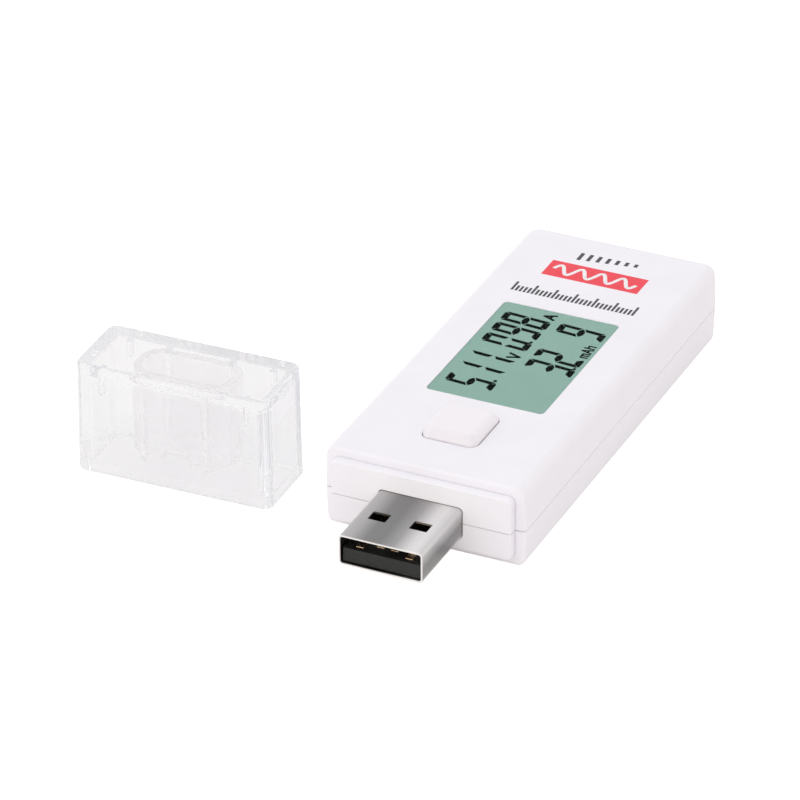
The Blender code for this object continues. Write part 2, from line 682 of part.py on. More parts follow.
def make_cap(make):
    """The cap is drawn about its own centre line, mouth down, and then set in its place."""
    mouth = (CASE_WIDTH - 2 * NOSE_STEP + 2 * CAP_CLEARANCE,
             CASE_HEIGHT - 2 * NOSE_STEP + 2 * CAP_CLEARANCE)
    hollow_top = CAP_HEIGHT - CAP_ROOF
    place = bpy.data.objects.new("cap_place", None)
    place.location = (*CAP_CENTRE, 0)
    place.rotation_euler = (0, 0, CAP_TURN)
    make.tools.objects.link(place)

    def part(name, size, centre, **rounding):
        obj = make.block(name, size, centre, **rounding)
        obj.parent = place
        return obj

    cap = make.loft("cap", cap_rings(), "clear")
    cap.parent = place
    inside = (CASE_WIDTH - 2 * CAP_SIDE_WALL, mouth[1] - CAP_CLEARANCE)
    hollow = part("cap_hollow", (*inside, hollow_top + CLEAR), (0, 0, (hollow_top - CLEAR) / 2),
                  corner=0.8 * MM)
    recess = part("cap_recess", (*mouth, CAP_RECESS + CLEAR), (0, 0, (CAP_RECESS - CLEAR) / 2),
                  corner=NOSE_CORNER - CAP_CLEARANCE)
    cut(cap, hollow, recess)

    sleeve_top = hollow_top + CAP_ROOF / 3
    sleeve_outer = (SLEEVE_WIDTH + 2 * SLEEVE_WALL, SLEEVE_DEPTH + 2 * SLEEVE_WALL)
    sleeve = part("cap_sleeve", (*sleeve_outer, sleeve_top - SLEEVE_START),
                  (0, 0, (sleeve_top + SLEEVE_START) / 2), corner=3.0 * MM)
    join(cap, sleeve)

    web_depth = (mouth[1] - SLEEVE_DEPTH) / 2
    web_y = (mouth[1] + SLEEVE_DEPTH) / 4
    web_start = SLEEVE_START - 0.4 * MM
    rib_start = 11.75 * MM
    rib_depth = 1.6 * MM
    for across in (-1, 1):
        for along in (-1, 1):
            web = part(f"cap_web_{across + 2}_{along + 2}",
                       (0.8 * MM, web_depth, sleeve_top - web_start),
                       (across * 4.65 * MM, along * web_y, (sleeve_top + web_start) / 2))
            rib = part(f"cap_rib_{across + 2}_{along + 2}",
                       (0.7 * MM, rib_depth, sleeve_top - rib_start),
                       (across * 10.6 * MM, along * (mouth[1] / 2 - rib_depth / 4),
                        (sleeve_top + rib_start) / 2))
            join(cap, web, rib)

    bore = part("sleeve_bore", (SLEEVE_WIDTH, SLEEVE_DEPTH, hollow_top + CLEAR),
                (0, 0, (hollow_top - CLEAR) / 2), corner=1.8 * MM)
    notch_rise = 0.9 * MM
    notch_top = SLEEVE_START + notch_rise
    notch = part("sleeve_notch", (4.0 * MM, sleeve_outer[1] + 0.4 * MM, notch_top + CLEAR),
                 (0, 0, (notch_top - CLEAR) / 2))
    cut(cap, bore, notch)


def main():
    clear_scene()
    parts = new_collection("usb_power_meter")
    tools = new_collection("cutters")
    make = Builder(parts, tools, make_finishes())
    shared = case_tools(make)
    make_top_case(make, shared)
    make_bottom_case(make, shared)
    make_display(make)
    make_button(make)
    make_switch(make)
    make_plug(make)
    make_socket(make)
    make_board(make)
    make_small_parts(make)
    make_cap(make)


main()
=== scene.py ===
"""The looks of the USB power meter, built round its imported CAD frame.

Metres, +Z up, origin at the centre of the case's underside, -Y the plug end. A length "from the
nose" runs from the plane of the case's front wall towards the socket.
"""
import json
import math

import bmesh
import bpy
from mathutils import Matrix, Vector


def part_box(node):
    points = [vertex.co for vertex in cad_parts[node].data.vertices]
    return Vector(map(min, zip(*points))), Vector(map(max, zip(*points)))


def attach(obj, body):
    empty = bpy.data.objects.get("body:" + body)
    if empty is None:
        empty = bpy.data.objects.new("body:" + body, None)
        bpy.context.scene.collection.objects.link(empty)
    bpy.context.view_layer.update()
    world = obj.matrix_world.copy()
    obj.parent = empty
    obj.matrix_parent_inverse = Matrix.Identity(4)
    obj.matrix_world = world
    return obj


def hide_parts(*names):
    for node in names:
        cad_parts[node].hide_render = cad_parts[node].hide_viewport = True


MM = 0.001

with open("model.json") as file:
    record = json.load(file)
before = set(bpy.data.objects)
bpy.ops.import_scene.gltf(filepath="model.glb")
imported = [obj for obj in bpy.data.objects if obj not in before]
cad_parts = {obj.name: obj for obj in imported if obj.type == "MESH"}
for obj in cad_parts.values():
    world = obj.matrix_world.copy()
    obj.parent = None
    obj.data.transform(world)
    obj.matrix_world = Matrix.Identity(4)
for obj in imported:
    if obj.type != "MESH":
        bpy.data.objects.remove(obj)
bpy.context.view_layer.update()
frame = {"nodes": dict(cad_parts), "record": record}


# ---------------------------------------------------------------- sizes

class Box:
    """A CAD node's extent, with its centre and size."""

    def __init__(self, node):
        self.low, self.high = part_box(node)
        self.centre = (self.low + self.high) / 2
        self.size = self.high - self.low


TOP = Box("top_case")
LENS = Box("window_lens")
BUTTON = Box("mode_button")
PLUG = Box("plug_shell")
TONGUE = Box("plug_tongue")
SOCKET = Box("socket_shell")
SOCKET_TONGUE = Box("socket_tongue")
CAP = Box("cap")

CASE_WIDTH = 28.4 * MM
SEAM_BULGE = TOP.size.x / 2 - CASE_WIDTH / 2
BACK_Y = TOP.high.y
NOSE_REACH = 1.3 * MM
FRONT_Y = TOP.low.y + NOSE_REACH
CASE_LENGTH = BACK_Y - FRONT_Y
CASE_TOP = TOP.high.z
WALL = 1.3 * MM
FRONT_CORNER = 0.45 * MM
BACK_CORNER = 1.9 * MM
TOP_EDGE = 1.3 * MM
BOTTOM_EDGE = 0.85 * MM
FRONT_EDGE = 0.3 * MM
SEAM_HEIGHT = 5.3 * MM
SEAM_GAP = 0.09 * MM
SEAM_EDGE = 0.16 * MM
NOSE_STEP = 1.25 * MM
NOSE_CORNER = 0.8 * MM
NOSE_EDGE = 0.25 * MM
WINDOW_CORNER = 0.65 * MM
BUTTON_WIDTH = 7.9 * MM
BUTTON_LENGTH = 8.7 * MM
BUTTON_CORNER = 1.3 * MM
BUTTON_DRAFT = 1.0 * MM
KEY_SIDE_ROUND = 1.1 * MM
KEY_STEPS = 12
RIM_STEPS = 10
PLUG_WIDTH = 12.0 * MM
PLUG_HEIGHT = 4.5 * MM
SHEET = 0.3 * MM
LATCH_WIDTH = 2.5 * MM
LATCH_LENGTH = 2.0 * MM
LATCH_FROM_CENTRE = 2.95 * MM
LATCH_FROM_TIP = 6.1 * MM
SOCKET_WIDTH = 13.1 * MM

CAP_TURN = math.radians(1.4)
CAP_WIDTH = 28.4 * MM
CAP_DEPTH = 11.6 * MM
CAP_HEIGHT = CAP.high.z
CAP_ROOF = 2.2 * MM
CAP_SIDE_WALL = 1.6 * MM
CAP_CLEARANCE = 0.1 * MM
CAP_RECESS = 1.5 * MM
CAP_FLARE = 0.17 * MM
CAP_CORNER = 1.5 * MM
SLEEVE_WIDTH = 12.8 * MM
SLEEVE_DEPTH = 5.3 * MM
SLEEVE_WALL = 1.0 * MM
SLEEVE_START = 3.3 * MM
WEB_FROM_CENTRE = 4.65 * MM
RIB_FROM_CENTRE = 10.6 * MM
RIB_START = 11.75 * MM

QUARTER = math.radians(90)
TOWARDS_PLUG = Matrix.Rotation(QUARTER, 4, "X")
TOWARDS_SOCKET = Matrix.Rotation(-QUARTER, 4, "X")


# ---------------------------------------------------------------- mesh tools

SMALLEST_CORNER = 0.02 * MM
CUTTER_RISE = 0.6 * MM
SAME_LEVEL = 0.001 * MM


def outline(width, length, front, back=None, steps=8):
    """Points round a rectangle in x, y, with rounded corners: front ones at -Y, back ones at +Y."""
    back = front if back is None else back
    corners = ((1, 1, back), (-1, 1, back), (-1, -1, front), (1, -1, front))
    points = []
    for number, (side, end, radius) in enumerate(corners):
        radius = max(radius, SMALLEST_CORNER)
        x = side * (width / 2 - radius)
        y = end * (length / 2 - radius)
        for step in range(steps + 1):
            angle = QUARTER * (number + step / steps)
            points.append((x + radius * math.cos(angle), y + radius * math.sin(angle)))
    return points


def fillet_up(top, radius, steps):
    """(z, inset) pairs that round a wall over into a flat top."""
    return [(top - radius + radius * math.sin(QUARTER * k / steps),
             radius - radius * math.cos(QUARTER * k / steps)) for k in range(steps + 1)]


def fillet_down(bottom, radius, steps):
    """(z, inset) pairs that round a flat underside up into a wall."""
    return [(2 * bottom - z, inset) for z, inset in reversed(fillet_up(bottom, radius, steps))]


def flare(top, radius, steps):
    """(z, inset) pairs of a cutter that leaves a rounded rim round a hole in a flat top."""
    rim = [(top - radius + radius * math.sin(QUARTER * k / steps),
            -(radius - radius * math.cos(QUARTER * k / steps))) for k in range(steps + 1)]
    return rim + [(top + CUTTER_RISE, -radius)]


def mesh_object(name, bm, place=None):
    if place is not None:
        bmesh.ops.transform(bm, matrix=place, verts=bm.verts)
    bmesh.ops.recalc_face_normals(bm, faces=bm.faces)
    mesh = bpy.data.meshes.new(name)
    bm.to_mesh(mesh)
    bm.free()
    obj = bpy.data.objects.new(name, mesh)
    bpy.context.scene.collection.objects.link(obj)
    return obj


def stack(name, width, length, corner, levels, centre=(0, 0, 0), turn=None, steps=8):
    """A closed solid through rounded-rectangle rings. Levels are (z, inset) pairs, lowest first."""
    rings = []
    for z, inset in levels:
        points = outline(width - 2 * inset, length - 2 * inset, corner - inset, steps=steps)
        rings.append([(x, y, z) for x, y in points])
    return loft(name, rings, centre, turn)


def loft(name, rings, centre=(0, 0, 0), turn=None):
    """A closed solid through rings of points that all have the same count."""
    bm = bmesh.new()
    rings = [[bm.verts.new(point) for point in ring] for ring in rings]
    for low, high in zip(rings, rings[1:]):
        for k in range(len(low)):
            after = (k + 1) % len(low)
            bm.faces.new((low[k], low[after], high[after], high[k]))
    bm.faces.new(list(reversed(rings[0])))
    bm.faces.new(rings[-1])
    place = Matrix.Translation(Vector(centre))
    if turn is not None:
        place = place @ turn
    return mesh_object(name, bm, place)


def block(name, low, high, edge=0.0, segments=2):
    """A box between two corners with its edges rounded."""
    low, high = Vector(low), Vector(high)
    bm = bmesh.new()
    bmesh.ops.create_cube(bm, size=1.0)
    bmesh.ops.scale(bm, vec=high - low, verts=bm.verts)
    if edge:
        bmesh.ops.bevel(bm, geom=bm.edges[:], offset=edge, segments=segments, profile=0.5,
                        affect="EDGES", clamp_overlap=True)
    bmesh.ops.translate(bm, vec=(high + low) / 2, verts=bm.verts)
    return mesh_object(name, bm)


def rod(name, radius, length, centre, edge):
    """An upright cylinder whose end rims are rounded."""
    bm = bmesh.new()
    bmesh.ops.create_cone(bm, cap_ends=True, segments=32, radius1=radius, radius2=radius,
                          depth=length)
    rims = [e for e in bm.edges if abs(e.verts[0].co.z - e.verts[1].co.z) < SAME_LEVEL]
    bmesh.ops.bevel(bm, geom=rims, offset=edge, segments=3, profile=0.5, affect="EDGES")
    return mesh_object(name, bm, Matrix.Translation(Vector(centre)))


def carve(target, operation, *tools):
    """Applies Boolean steps to a mesh and removes the tool shapes."""
    for tool in tools:
        step = target.modifiers.new(tool.name, "BOOLEAN")
        step.operation = operation
        step.solver = "EXACT"
        step.object = tool
    graph = bpy.context.evaluated_depsgraph_get()
    carved = bpy.data.meshes.new_from_object(target.evaluated_get(graph))
    target.modifiers.clear()
    old = target.data
    target.data = carved
    carved.name = target.name
    bpy.data.meshes.remove(old)
    for tool in tools:
        bpy.data.objects.remove(tool, do_unlink=True)
    return target


def cut(target, *tools):
    return carve(target, "DIFFERENCE", *tools)


def join(target, *tools):
    return carve(target, "UNION", *tools)


def smooth(obj, angle):
    """Smooth shading that keeps the flats flat and the real corners sharp."""
    obj.data.shade_smooth()
    obj.data.set_sharp_from_angle(angle=math.radians(angle))
    weigh = obj.modifiers.new("flat faces", "WEIGHTED_NORMAL")
    weigh.keep_sharp = True


def paint(obj, material):
    obj.data.materials.clear()
    obj.data.materials.append(material)


def stands_for(obj, body, slot, *nodes):
    """obj rides on a body and takes the place of CAD nodes; slot is not used."""
    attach(obj, body)
    if nodes:
        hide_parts(*nodes)
    return obj


def finished(obj, slot, body, *nodes, look=None, sharp=33):
    """A smoothed piece in its material: the slot's own, unless it has a look of its own."""
    smooth(obj, sharp)
    paint(obj, MATERIALS[look or slot])
    return stands_for(obj, body, slot, *nodes)


# ---------------------------------------------------------------- materials

def fill_ramp(ramp, stops):
    """Sets a colour ramp's stops from (place, colour) pairs."""
    while len(ramp.elements) < len(stops):
        ramp.elements.new(0.5)
    for element, (place, colour) in zip(ramp.elements, stops):
        element.position = place
        element.color = (*colour, 1.0)


class Nodes:
    """Short calls for building one material's node tree."""

    def __init__(self, name):
        self.material = bpy.data.materials.new(name)
        self.material.use_nodes = True
        self.tree = self.material.node_tree
        self.tree.nodes.clear()
        self.output = self.add("ShaderNodeOutputMaterial")
        self.place = self.add("ShaderNodeTexCoord").outputs["Object"]

    def add(self, kind, **settings):
        node = self.tree.nodes.new(kind)
        for key, value in settings.items():
            setattr(node, key, value)
        return node

    def link(self, source, target):
        self.tree.links.new(source, target)

    def feed(self, socket, value):
        """Links a node's output, or sets a plain value."""
        if isinstance(value, bpy.types.NodeSocket):
            self.link(value, socket)
        else:
            socket.default_value = value

    def noise(self, scale, detail, rough=0.5, stretch=None):
        place = self.place
        if stretch is not None:
            mapping = self.add("ShaderNodeMapping")
            self.link(place, mapping.inputs["Vector"])
            mapping.inputs["Scale"].default_value = stretch
            place = mapping.outputs["Vector"]
        node = self.add("ShaderNodeTexNoise")
        self.link(place, node.inputs["Vector"])
        node.inputs["Scale"].default_value = scale
        node.inputs["Detail"].default_value = detail
        node.inputs["Roughness"].default_value = rough
        return node.outputs["Fac"]

    def spread(self, value, low, high, start=0.3, stop=0.7):
        """Maps a noise value's middle range onto low to high."""
        node = self.add("ShaderNodeMapRange")
        self.link(value, node.inputs["Value"])
        node.inputs["From Min"].default_value = start
        node.inputs["From Max"].default_value = stop
        self.feed(node.inputs["To Min"], low)
        self.feed(node.inputs["To Max"], high)
        return node.outputs["Result"]

    def math(self, operation, first, second=0.0, clamp=False):
        node = self.add("ShaderNodeMath", operation=operation, use_clamp=clamp)
        self.feed(node.inputs[0], first)
        self.feed(node.inputs[1], second)
        return node.outputs[0]

    def axis(self, name):
        node = self.add("ShaderNodeSeparateXYZ")
        self.link(self.place, node.inputs[0])
        return node.outputs[name]

    def blend(self, factor, first, second):
        node = self.add("ShaderNodeMix", data_type="RGBA")
        self.feed(node.inputs["Factor"], factor)
        for socket, value in ((node.inputs[6], first), (node.inputs[7], second)):
            self.feed(socket, value if isinstance(value, bpy.types.NodeSocket) else (*value, 1.0))
        return node.outputs[2]

    def ramp(self, value, stops):
        """A colour ramp whose stops are (place, colour) pairs."""
        node = self.add("ShaderNodeValToRGB")
        self.link(value, node.inputs["Fac"])
        fill_ramp(node.color_ramp, stops)
        return node.outputs["Color"]

    def bump(self, height, depth, strength):
        node = self.add("ShaderNodeBump")
        self.link(height, node.inputs["Height"])
        node.inputs["Distance"].default_value = depth
        node.inputs["Strength"].default_value = strength
        return node.outputs["Normal"]

    def principled(self, **inputs):
        node = self.add("ShaderNodeBsdfPrincipled")
        for key, value in inputs.items():
            socket = node.inputs[key.replace("_", " ")]
            if isinstance(value, tuple):
                value = (*value, 1.0)
            self.feed(socket, value)
        return node.outputs["BSDF"]

    def done(self, shader):
        self.link(shader, self.output.inputs["Surface"])
        return self.material


def shade(colour, amount):
    return tuple(channel * amount for channel in colour)


MOULD_GRAIN = 0.004 * MM
CORNER_REACH = 0.45 * MM
# Painted shade: how bright the inner corners are, against the open faces.
CORNER_PAINTED_SHADE = 0.80


def moulded_plastic(name, colour, roughness, front_painted_shade=1.0):
    """Satin moulded plastic: a fine spark-eroded grain, with faint flow clouds in colour and gloss.

    The inner corners are a little darker, a painted shade, as light is lost in them. front_painted_shade
    is a
    painted shade: the brightness of the faces that lean towards the plug, against the rest.
    """
    n = Nodes(name)
    clouds = n.noise(160.0, 3.0)
    tone = n.blend(n.spread(clouds, 0.0, 1.0), shade(colour, 0.985), shade(colour, 1.01))
    gloss = n.spread(n.noise(420.0, 4.0), roughness - 0.05, roughness + 0.05)
    fine = n.noise(9000.0, 2.0)
    # Painted shade: an occlusion test darkens the inner corners, where light is lost.
    corner = n.add("ShaderNodeAmbientOcclusion", samples=6, only_local=True)
    corner.inputs["Distance"].default_value = CORNER_REACH
    openness = n.spread(corner.outputs["AO"], 0.0, 1.0, 0.35, 0.85)
    tone = n.blend(openness, shade(colour, CORNER_PAINTED_SHADE), tone)
    # Painted shade on the faces that lean towards the plug.
    if front_painted_shade != 1.0:
        facing = n.add("ShaderNodeSeparateXYZ")
        n.link(n.add("ShaderNodeNewGeometry").outputs["Normal"], facing.inputs[0])
        lean = n.spread(facing.outputs["Y"], 0.0, 1.0, -0.15, -0.45)
        tone = n.blend(lean, tone, shade(colour, front_painted_shade))
    return n.done(n.principled(Base_Color=tone, Roughness=gloss, IOR=1.5,
                               Normal=n.bump(fine, MOULD_GRAIN, 0.5)))


def display_glass():
    """The grey-green reflective face of the display, with a painted gradient of light: a little lighter
    towards one end.
    """
    n = Nodes("display_glass")
    # Painted light: the face grows a little lighter towards the socket end.
    across = n.spread(n.axis("Y"), 0.0, 1.0, LENS.low.y, LENS.high.y)
    grain = n.spread(n.noise(2500.0, 2.0), 0.97, 1.03)
    base = n.blend(across, (0.266, 0.436, 0.374), (0.278, 0.448, 0.386))
    lift = n.add("ShaderNodeVectorMath", operation="SCALE")
    n.link(base, lift.inputs[0])
    n.link(grain, lift.inputs["Scale"])
    return n.done(n.principled(Base_Color=lift.outputs[0], Roughness=0.6, Specular_IOR_Level=0.15))


def display_ink():
    """Energised display segments: near black with a faint green cast and soft tone changes."""
    n = Nodes("display_ink")
    speck = n.spread(n.noise(1800.0, 2.0), 0.0, 1.0)
    tone = n.blend(speck, (0.002, 0.004, 0.003), (0.006, 0.010, 0.008))
    return n.done(n.principled(Base_Color=tone, Roughness=0.7, Specular_IOR_Level=0.0))


WINDOW_GLOSS = 0.01


def clear_window():
    """Thin polished acrylic: straight through, with a soft reflection that grows at a low angle."""
    n = Nodes("window_plastic")
    through = n.add("ShaderNodeBsdfTransparent")
    n.link(n.blend(n.spread(n.noise(300.0, 2.0), 0.0, 1.0), (0.985, 0.995, 0.99), (1.0, 1.0, 1.0)),
           through.inputs["Color"])
    gloss = n.add("ShaderNodeBsdfGlossy")
    n.feed(gloss.inputs["Roughness"], n.spread(n.noise(700.0, 3.0), 0.05, 0.12))
    lens = n.add("ShaderNodeFresnel")
    lens.inputs["IOR"].default_value = 1.3
    mix = n.add("ShaderNodeMixShader")
    n.link(n.math("MULTIPLY", lens.outputs[0], WINDOW_GLOSS), mix.inputs["Fac"])
    n.link(through.outputs[0], mix.inputs[1])
    n.link(gloss.outputs[0], mix.inputs[2])
    return n.done(mix.outputs[0])


# Painted light: the strength of the pale grey glow in the cap's sleeve.
SLEEVE_HAZE_GLOW = 0.25
SLEEVE_GRAIN = 0.12
SLEEVE_MARGIN = 0.12 * MM
TRAPPED_DEPTH = 16.5


def in_sleeve(n):
    """One inside the cap's sleeve, whose core leaves a finely grained surface, and none elsewhere."""
    reach = ((SLEEVE_WIDTH / 2 + SLEEVE_WALL, CAP.centre.x, "X"),
             (SLEEVE_DEPTH / 2 + SLEEVE_WALL, CAP.centre.y, "Y"))
    inside = n.math("LESS_THAN", n.axis("Z"), CAP_HEIGHT - CAP_ROOF - 0.1 * MM)
    for half, centre, name in reach:
        offset = n.math("ABSOLUTE", n.math("SUBTRACT", n.axis(name), centre))
        inside = n.math("MULTIPLY", inside, n.math("LESS_THAN", offset, half + SLEEVE_MARGIN))
    return inside


def clear_moulding():
    """Clear polystyrene: refracts for the eye, and lets light through without casting a shadow.

    The grained sleeve scatters a little light, and it also glows faintly with a painted pale grey
    haze. A ray still trapped between the walls after 16 bounces ends in the same painted pale grey glow.
    """
    n = Nodes("clear_plastic")
    glass = n.add("ShaderNodeBsdfGlass", distribution="MULTI_GGX")
    glass.inputs["IOR"].default_value = 1.45
    clouds = n.spread(n.noise(120.0, 3.0), 0.0, 1.0)
    n.link(n.blend(clouds, (0.980, 0.982, 0.984), (0.994, 0.996, 0.998)), glass.inputs["Color"])
    polish = n.spread(n.noise(500.0, 3.0), 0.0, 0.03)
    grain = n.math("MULTIPLY", in_sleeve(n), SLEEVE_GRAIN)
    n.feed(glass.inputs["Roughness"], n.math("ADD", polish, grain))
    n.link(n.bump(n.noise(150.0, 2.0), 0.0008 * MM, 0.5), glass.inputs["Normal"])
    clear = n.add("ShaderNodeBsdfTransparent")
    clear.inputs["Color"].default_value = (0.96, 0.96, 0.965, 1.0)
    ray = n.add("ShaderNodeLightPath")
    soft = n.math("MAXIMUM", ray.outputs["Is Shadow Ray"], ray.outputs["Is Diffuse Ray"])
    mix = n.add("ShaderNodeMixShader")
    n.link(soft, mix.inputs["Fac"])
    n.link(glass.outputs[0], mix.inputs[1])
    n.link(clear.outputs[0], mix.inputs[2])
    # Painted light: a pale grey glow in the sleeve and at the end of trapped rays.
    haze_glow = n.add("ShaderNodeEmission")
    haze_glow.inputs["Color"].default_value = (0.89, 0.862, 0.872, 1.0)
    trapped = n.math("GREATER_THAN", ray.outputs["Ray Depth"], TRAPPED_DEPTH)
    glow_mask = n.math("MAXIMUM", trapped, n.math("MULTIPLY", in_sleeve(n), SLEEVE_HAZE_GLOW))
    ending = n.add("ShaderNodeMixShader")
    n.link(n.math("MULTIPLY", glow_mask, n.math("SUBTRACT", 1.0, soft)), ending.inputs["Fac"])
    n.link(mix.outputs[0], ending.inputs[1])
    n.link(haze_glow.outputs[0], ending.inputs[2])
    return n.done(ending.outputs[0])


def plated_steel(name, light, dark, roughness):
    """Nickel-plated sheet: fine rolling lines along Y, soft clouds in tone and gloss."""
    n = Nodes(name)
    lines = n.noise(2600.0, 3.0, 0.6, (1.0, 0.03, 1.0))
    clouds = n.noise(120.0, 2.0)
    tone = n.blend(n.spread(clouds, 0.0, 1.0), dark, light)
    gloss = n.spread(lines, roughness - 0.06, roughness + 0.08)
    return n.done(n.principled(Base_Color=tone, Metallic=1.0, Roughness=gloss,
                               Normal=n.bump(lines, 0.002 * MM, 0.4)))


# Painted reflections: bands of tone in fixed places across the plug's top (mm from its centre line) and
# up its sides (mm from its underside), standing in for the studio's reflections.
PLUG_TOP_PAINTED_REFLECTIONS = ((-6.0, 0.56), (-4.5, 0.47), (-2.5, 0.26), (-0.5, 0.25), (1.5, 0.39), (3.5, 0.77),
                  (4.5, 0.83), (6.0, 0.65))
PLUG_SIDE_PAINTED_REFLECTIONS = ((0.0, 0.80), (0.9, 0.33), (2.25, 0.30), (4.5, 0.75))
PLUG_REFLECTION_SLANT = 0.03
PLUG_REFLECTION_SHIFT = 1.2 * MM


def plug_steel():
    """The plug's sheet: painted reflections as soft bands of tone across its top and up its sides, and a
    painted highlight on its cut edge.

    It throws as much light on the nose behind it as clean bright metal would.
    """
    n = Nodes("plug_steel")
    lines = n.noise(2600.0, 3.0, 0.6, (1.0, 0.03, 1.0))
    across = n.math("ADD", n.axis("X"), n.math("MULTIPLY", n.axis("Y"), PLUG_REFLECTION_SLANT))
    across = n.math("ADD", across, PLUG_REFLECTION_SHIFT)
    half = PLUG_WIDTH / 2
    top = n.ramp(n.spread(across, 0.0, 1.0, -half, half),
                 [((x * MM + half) / PLUG_WIDTH, (tone, tone, tone)) for x, tone in PLUG_TOP_PAINTED_REFLECTIONS])
    flank_place = n.spread(n.axis("Z"), 0.0, 1.0, PLUG.low.z, PLUG.low.z + PLUG_HEIGHT)
    flank_reflections = n.ramp(flank_place,
                   [(z * MM / PLUG_HEIGHT, (tone, tone, tone)) for z, tone in PLUG_SIDE_PAINTED_REFLECTIONS])
    facing = n.add("ShaderNodeSeparateXYZ")
    n.link(n.add("ShaderNodeNewGeometry").outputs["Normal"], facing.inputs[0])
    side = n.math("POWER", n.math("ABSOLUTE", facing.outputs["X"]), 3.0, clamp=True)
    # Painted highlight: the sheet's cut edge at the tip is near white.
    tip = n.math("POWER", n.math("MULTIPLY", facing.outputs["Y"], -1.0, clamp=True), 3.0, clamp=True)
    tip = n.math("MULTIPLY", tip, n.math("LESS_THAN", n.axis("Y"), PLUG.low.y + MM))
    tone = n.blend(tip, n.blend(side, top, flank_reflections), (0.98, 0.95, 0.92))
    gloss = n.spread(lines, 0.27, 0.33)
    steel = n.principled(Base_Color=tone, Metallic=1.0, Roughness=gloss,
                         Normal=n.bump(lines, 0.0006 * MM, 0.3))
    # Painted light: to diffuse rays the plug is a bright pale surface, for the light it reflects onto
    # the nose.
    bright = n.add("ShaderNodeBsdfDiffuse")
    bright.inputs["Color"].default_value = (0.74, 0.72, 0.66, 1.0)
    mix = n.add("ShaderNodeMixShader")
    n.link(n.add("ShaderNodeLightPath").outputs["Is Diffuse Ray"], mix.inputs["Fac"])
    n.link(steel, mix.inputs[1])
    n.link(bright.outputs[0], mix.inputs[2])
    return n.done(mix.outputs[0])


def gold_flash():
    n = Nodes("gold_contact")
    wear = n.spread(n.noise(1500.0, 3.0), 0.0, 1.0)
    tone = n.blend(wear, (0.90, 0.58, 0.33), (1.0, 0.80, 0.55))
    return n.done(n.principled(Base_Color=tone, Metallic=1.0,
                               Roughness=n.spread(n.noise(3000.0, 2.0), 0.18, 0.32)))


def solder_mask():
    """A green board: tracks under the mask as slightly raised, lighter bands."""
    n = Nodes("green_board")
    tracks = n.add("ShaderNodeTexBrick")
    n.link(n.place, tracks.inputs["Vector"])
    tracks.inputs["Scale"].default_value = 520.0
    tracks.inputs["Mortar Size"].default_value = 0.06
    edge = tracks.outputs["Fac"]
    tone = n.blend(edge, (0.012, 0.13, 0.05), (0.03, 0.22, 0.09))
    return n.done(n.principled(Base_Color=tone, Roughness=n.spread(n.noise(900.0, 2.0), 0.3, 0.42),
                               Normal=n.bump(edge, 0.02 * MM, 0.5)))


SURFACE_GRAIN = 0.006 * MM


def grained(name, light, dark, roughness, scale=3000.0):
    """A plain material with its own grain in tone, gloss and relief."""
    n = Nodes(name)
    speck = n.noise(scale, 3.0)
    tone = n.blend(n.spread(speck, 0.0, 1.0), dark, light)
    gloss = n.spread(n.noise(scale * 0.4, 2.0), roughness - 0.06, roughness + 0.06)
    return n.done(n.principled(Base_Color=tone, Roughness=gloss,
                               Normal=n.bump(speck, SURFACE_GRAIN, 0.5)))


def zebra_layers():
    """Alternate conducting and plain layers of silicone along the strip."""
    n = Nodes("zebra_rubber")
    wave = n.add("ShaderNodeTexWave", bands_direction="Y")
    n.link(n.place, wave.inputs["Vector"])
    wave.inputs["Scale"].default_value = 1600.0
    tone = n.blend(wave.outputs["Fac"], (0.02, 0.02, 0.02), (0.62, 0.55, 0.5))
    return n.done(n.principled(Base_Color=tone, Roughness=0.7))


def printed_ink(name, colour):
    """Pad-printed ink: faintly uneven in tone, with a satin sheen."""
    n = Nodes(name)
    tone = n.blend(n.spread(n.noise(2200.0, 3.0), 0.0, 1.0), shade(colour, 0.93), shade(colour, 1.05))
    return n.done(n.principled(Base_Color=tone, Roughness=n.spread(n.noise(900.0, 2.0), 0.4, 0.5)))


MATERIALS = {
    "white_plastic": moulded_plastic("white_plastic", (0.90, 0.885, 0.925), 0.42),
    "key_plastic": moulded_plastic("key_plastic", (0.90, 0.87, 0.895), 0.4, front_painted_shade=0.93),
    "window_plastic": clear_window(),
    "clear_plastic": clear_moulding(),
    "display_glass": display_glass(),
    "display_ink": display_ink(),
    "reflector_film": grained("reflector_film", (0.66, 0.72, 0.66), (0.6, 0.66, 0.6), 0.4, 2500.0),
    "plug_steel": plug_steel(),
    "plated_steel": plated_steel("plated_steel", (0.66, 0.66, 0.66), (0.56, 0.56, 0.57), 0.26),
    "dark_insulator": grained("dark_insulator", (0.009, 0.010, 0.009), (0.006, 0.007, 0.006), 0.5),
    "pale_insulator": grained("pale_insulator", (0.84, 0.83, 0.80), (0.78, 0.77, 0.74), 0.42),
    "gold_contact": gold_flash(),
    "green_board": solder_mask(),
    "black_resin": grained("black_resin", (0.03, 0.03, 0.03), (0.015, 0.015, 0.016), 0.5),
    "resistor_body": grained("resistor_body", (0.05, 0.05, 0.06), (0.03, 0.03, 0.035), 0.35),
    "capacitor_body": grained("capacitor_body", (0.66, 0.40, 0.09), (0.56, 0.33, 0.07), 0.48),
    "zebra_rubber": zebra_layers(),
    "red_print": printed_ink("red_print", (0.88, 0.045, 0.072)),
    "grey_print": printed_ink("grey_print", (0.045, 0.05, 0.058)),
    "white_print": printed_ink("white_print", (0.88, 0.86, 0.87)),
}


# ---------------------------------------------------------------- the case

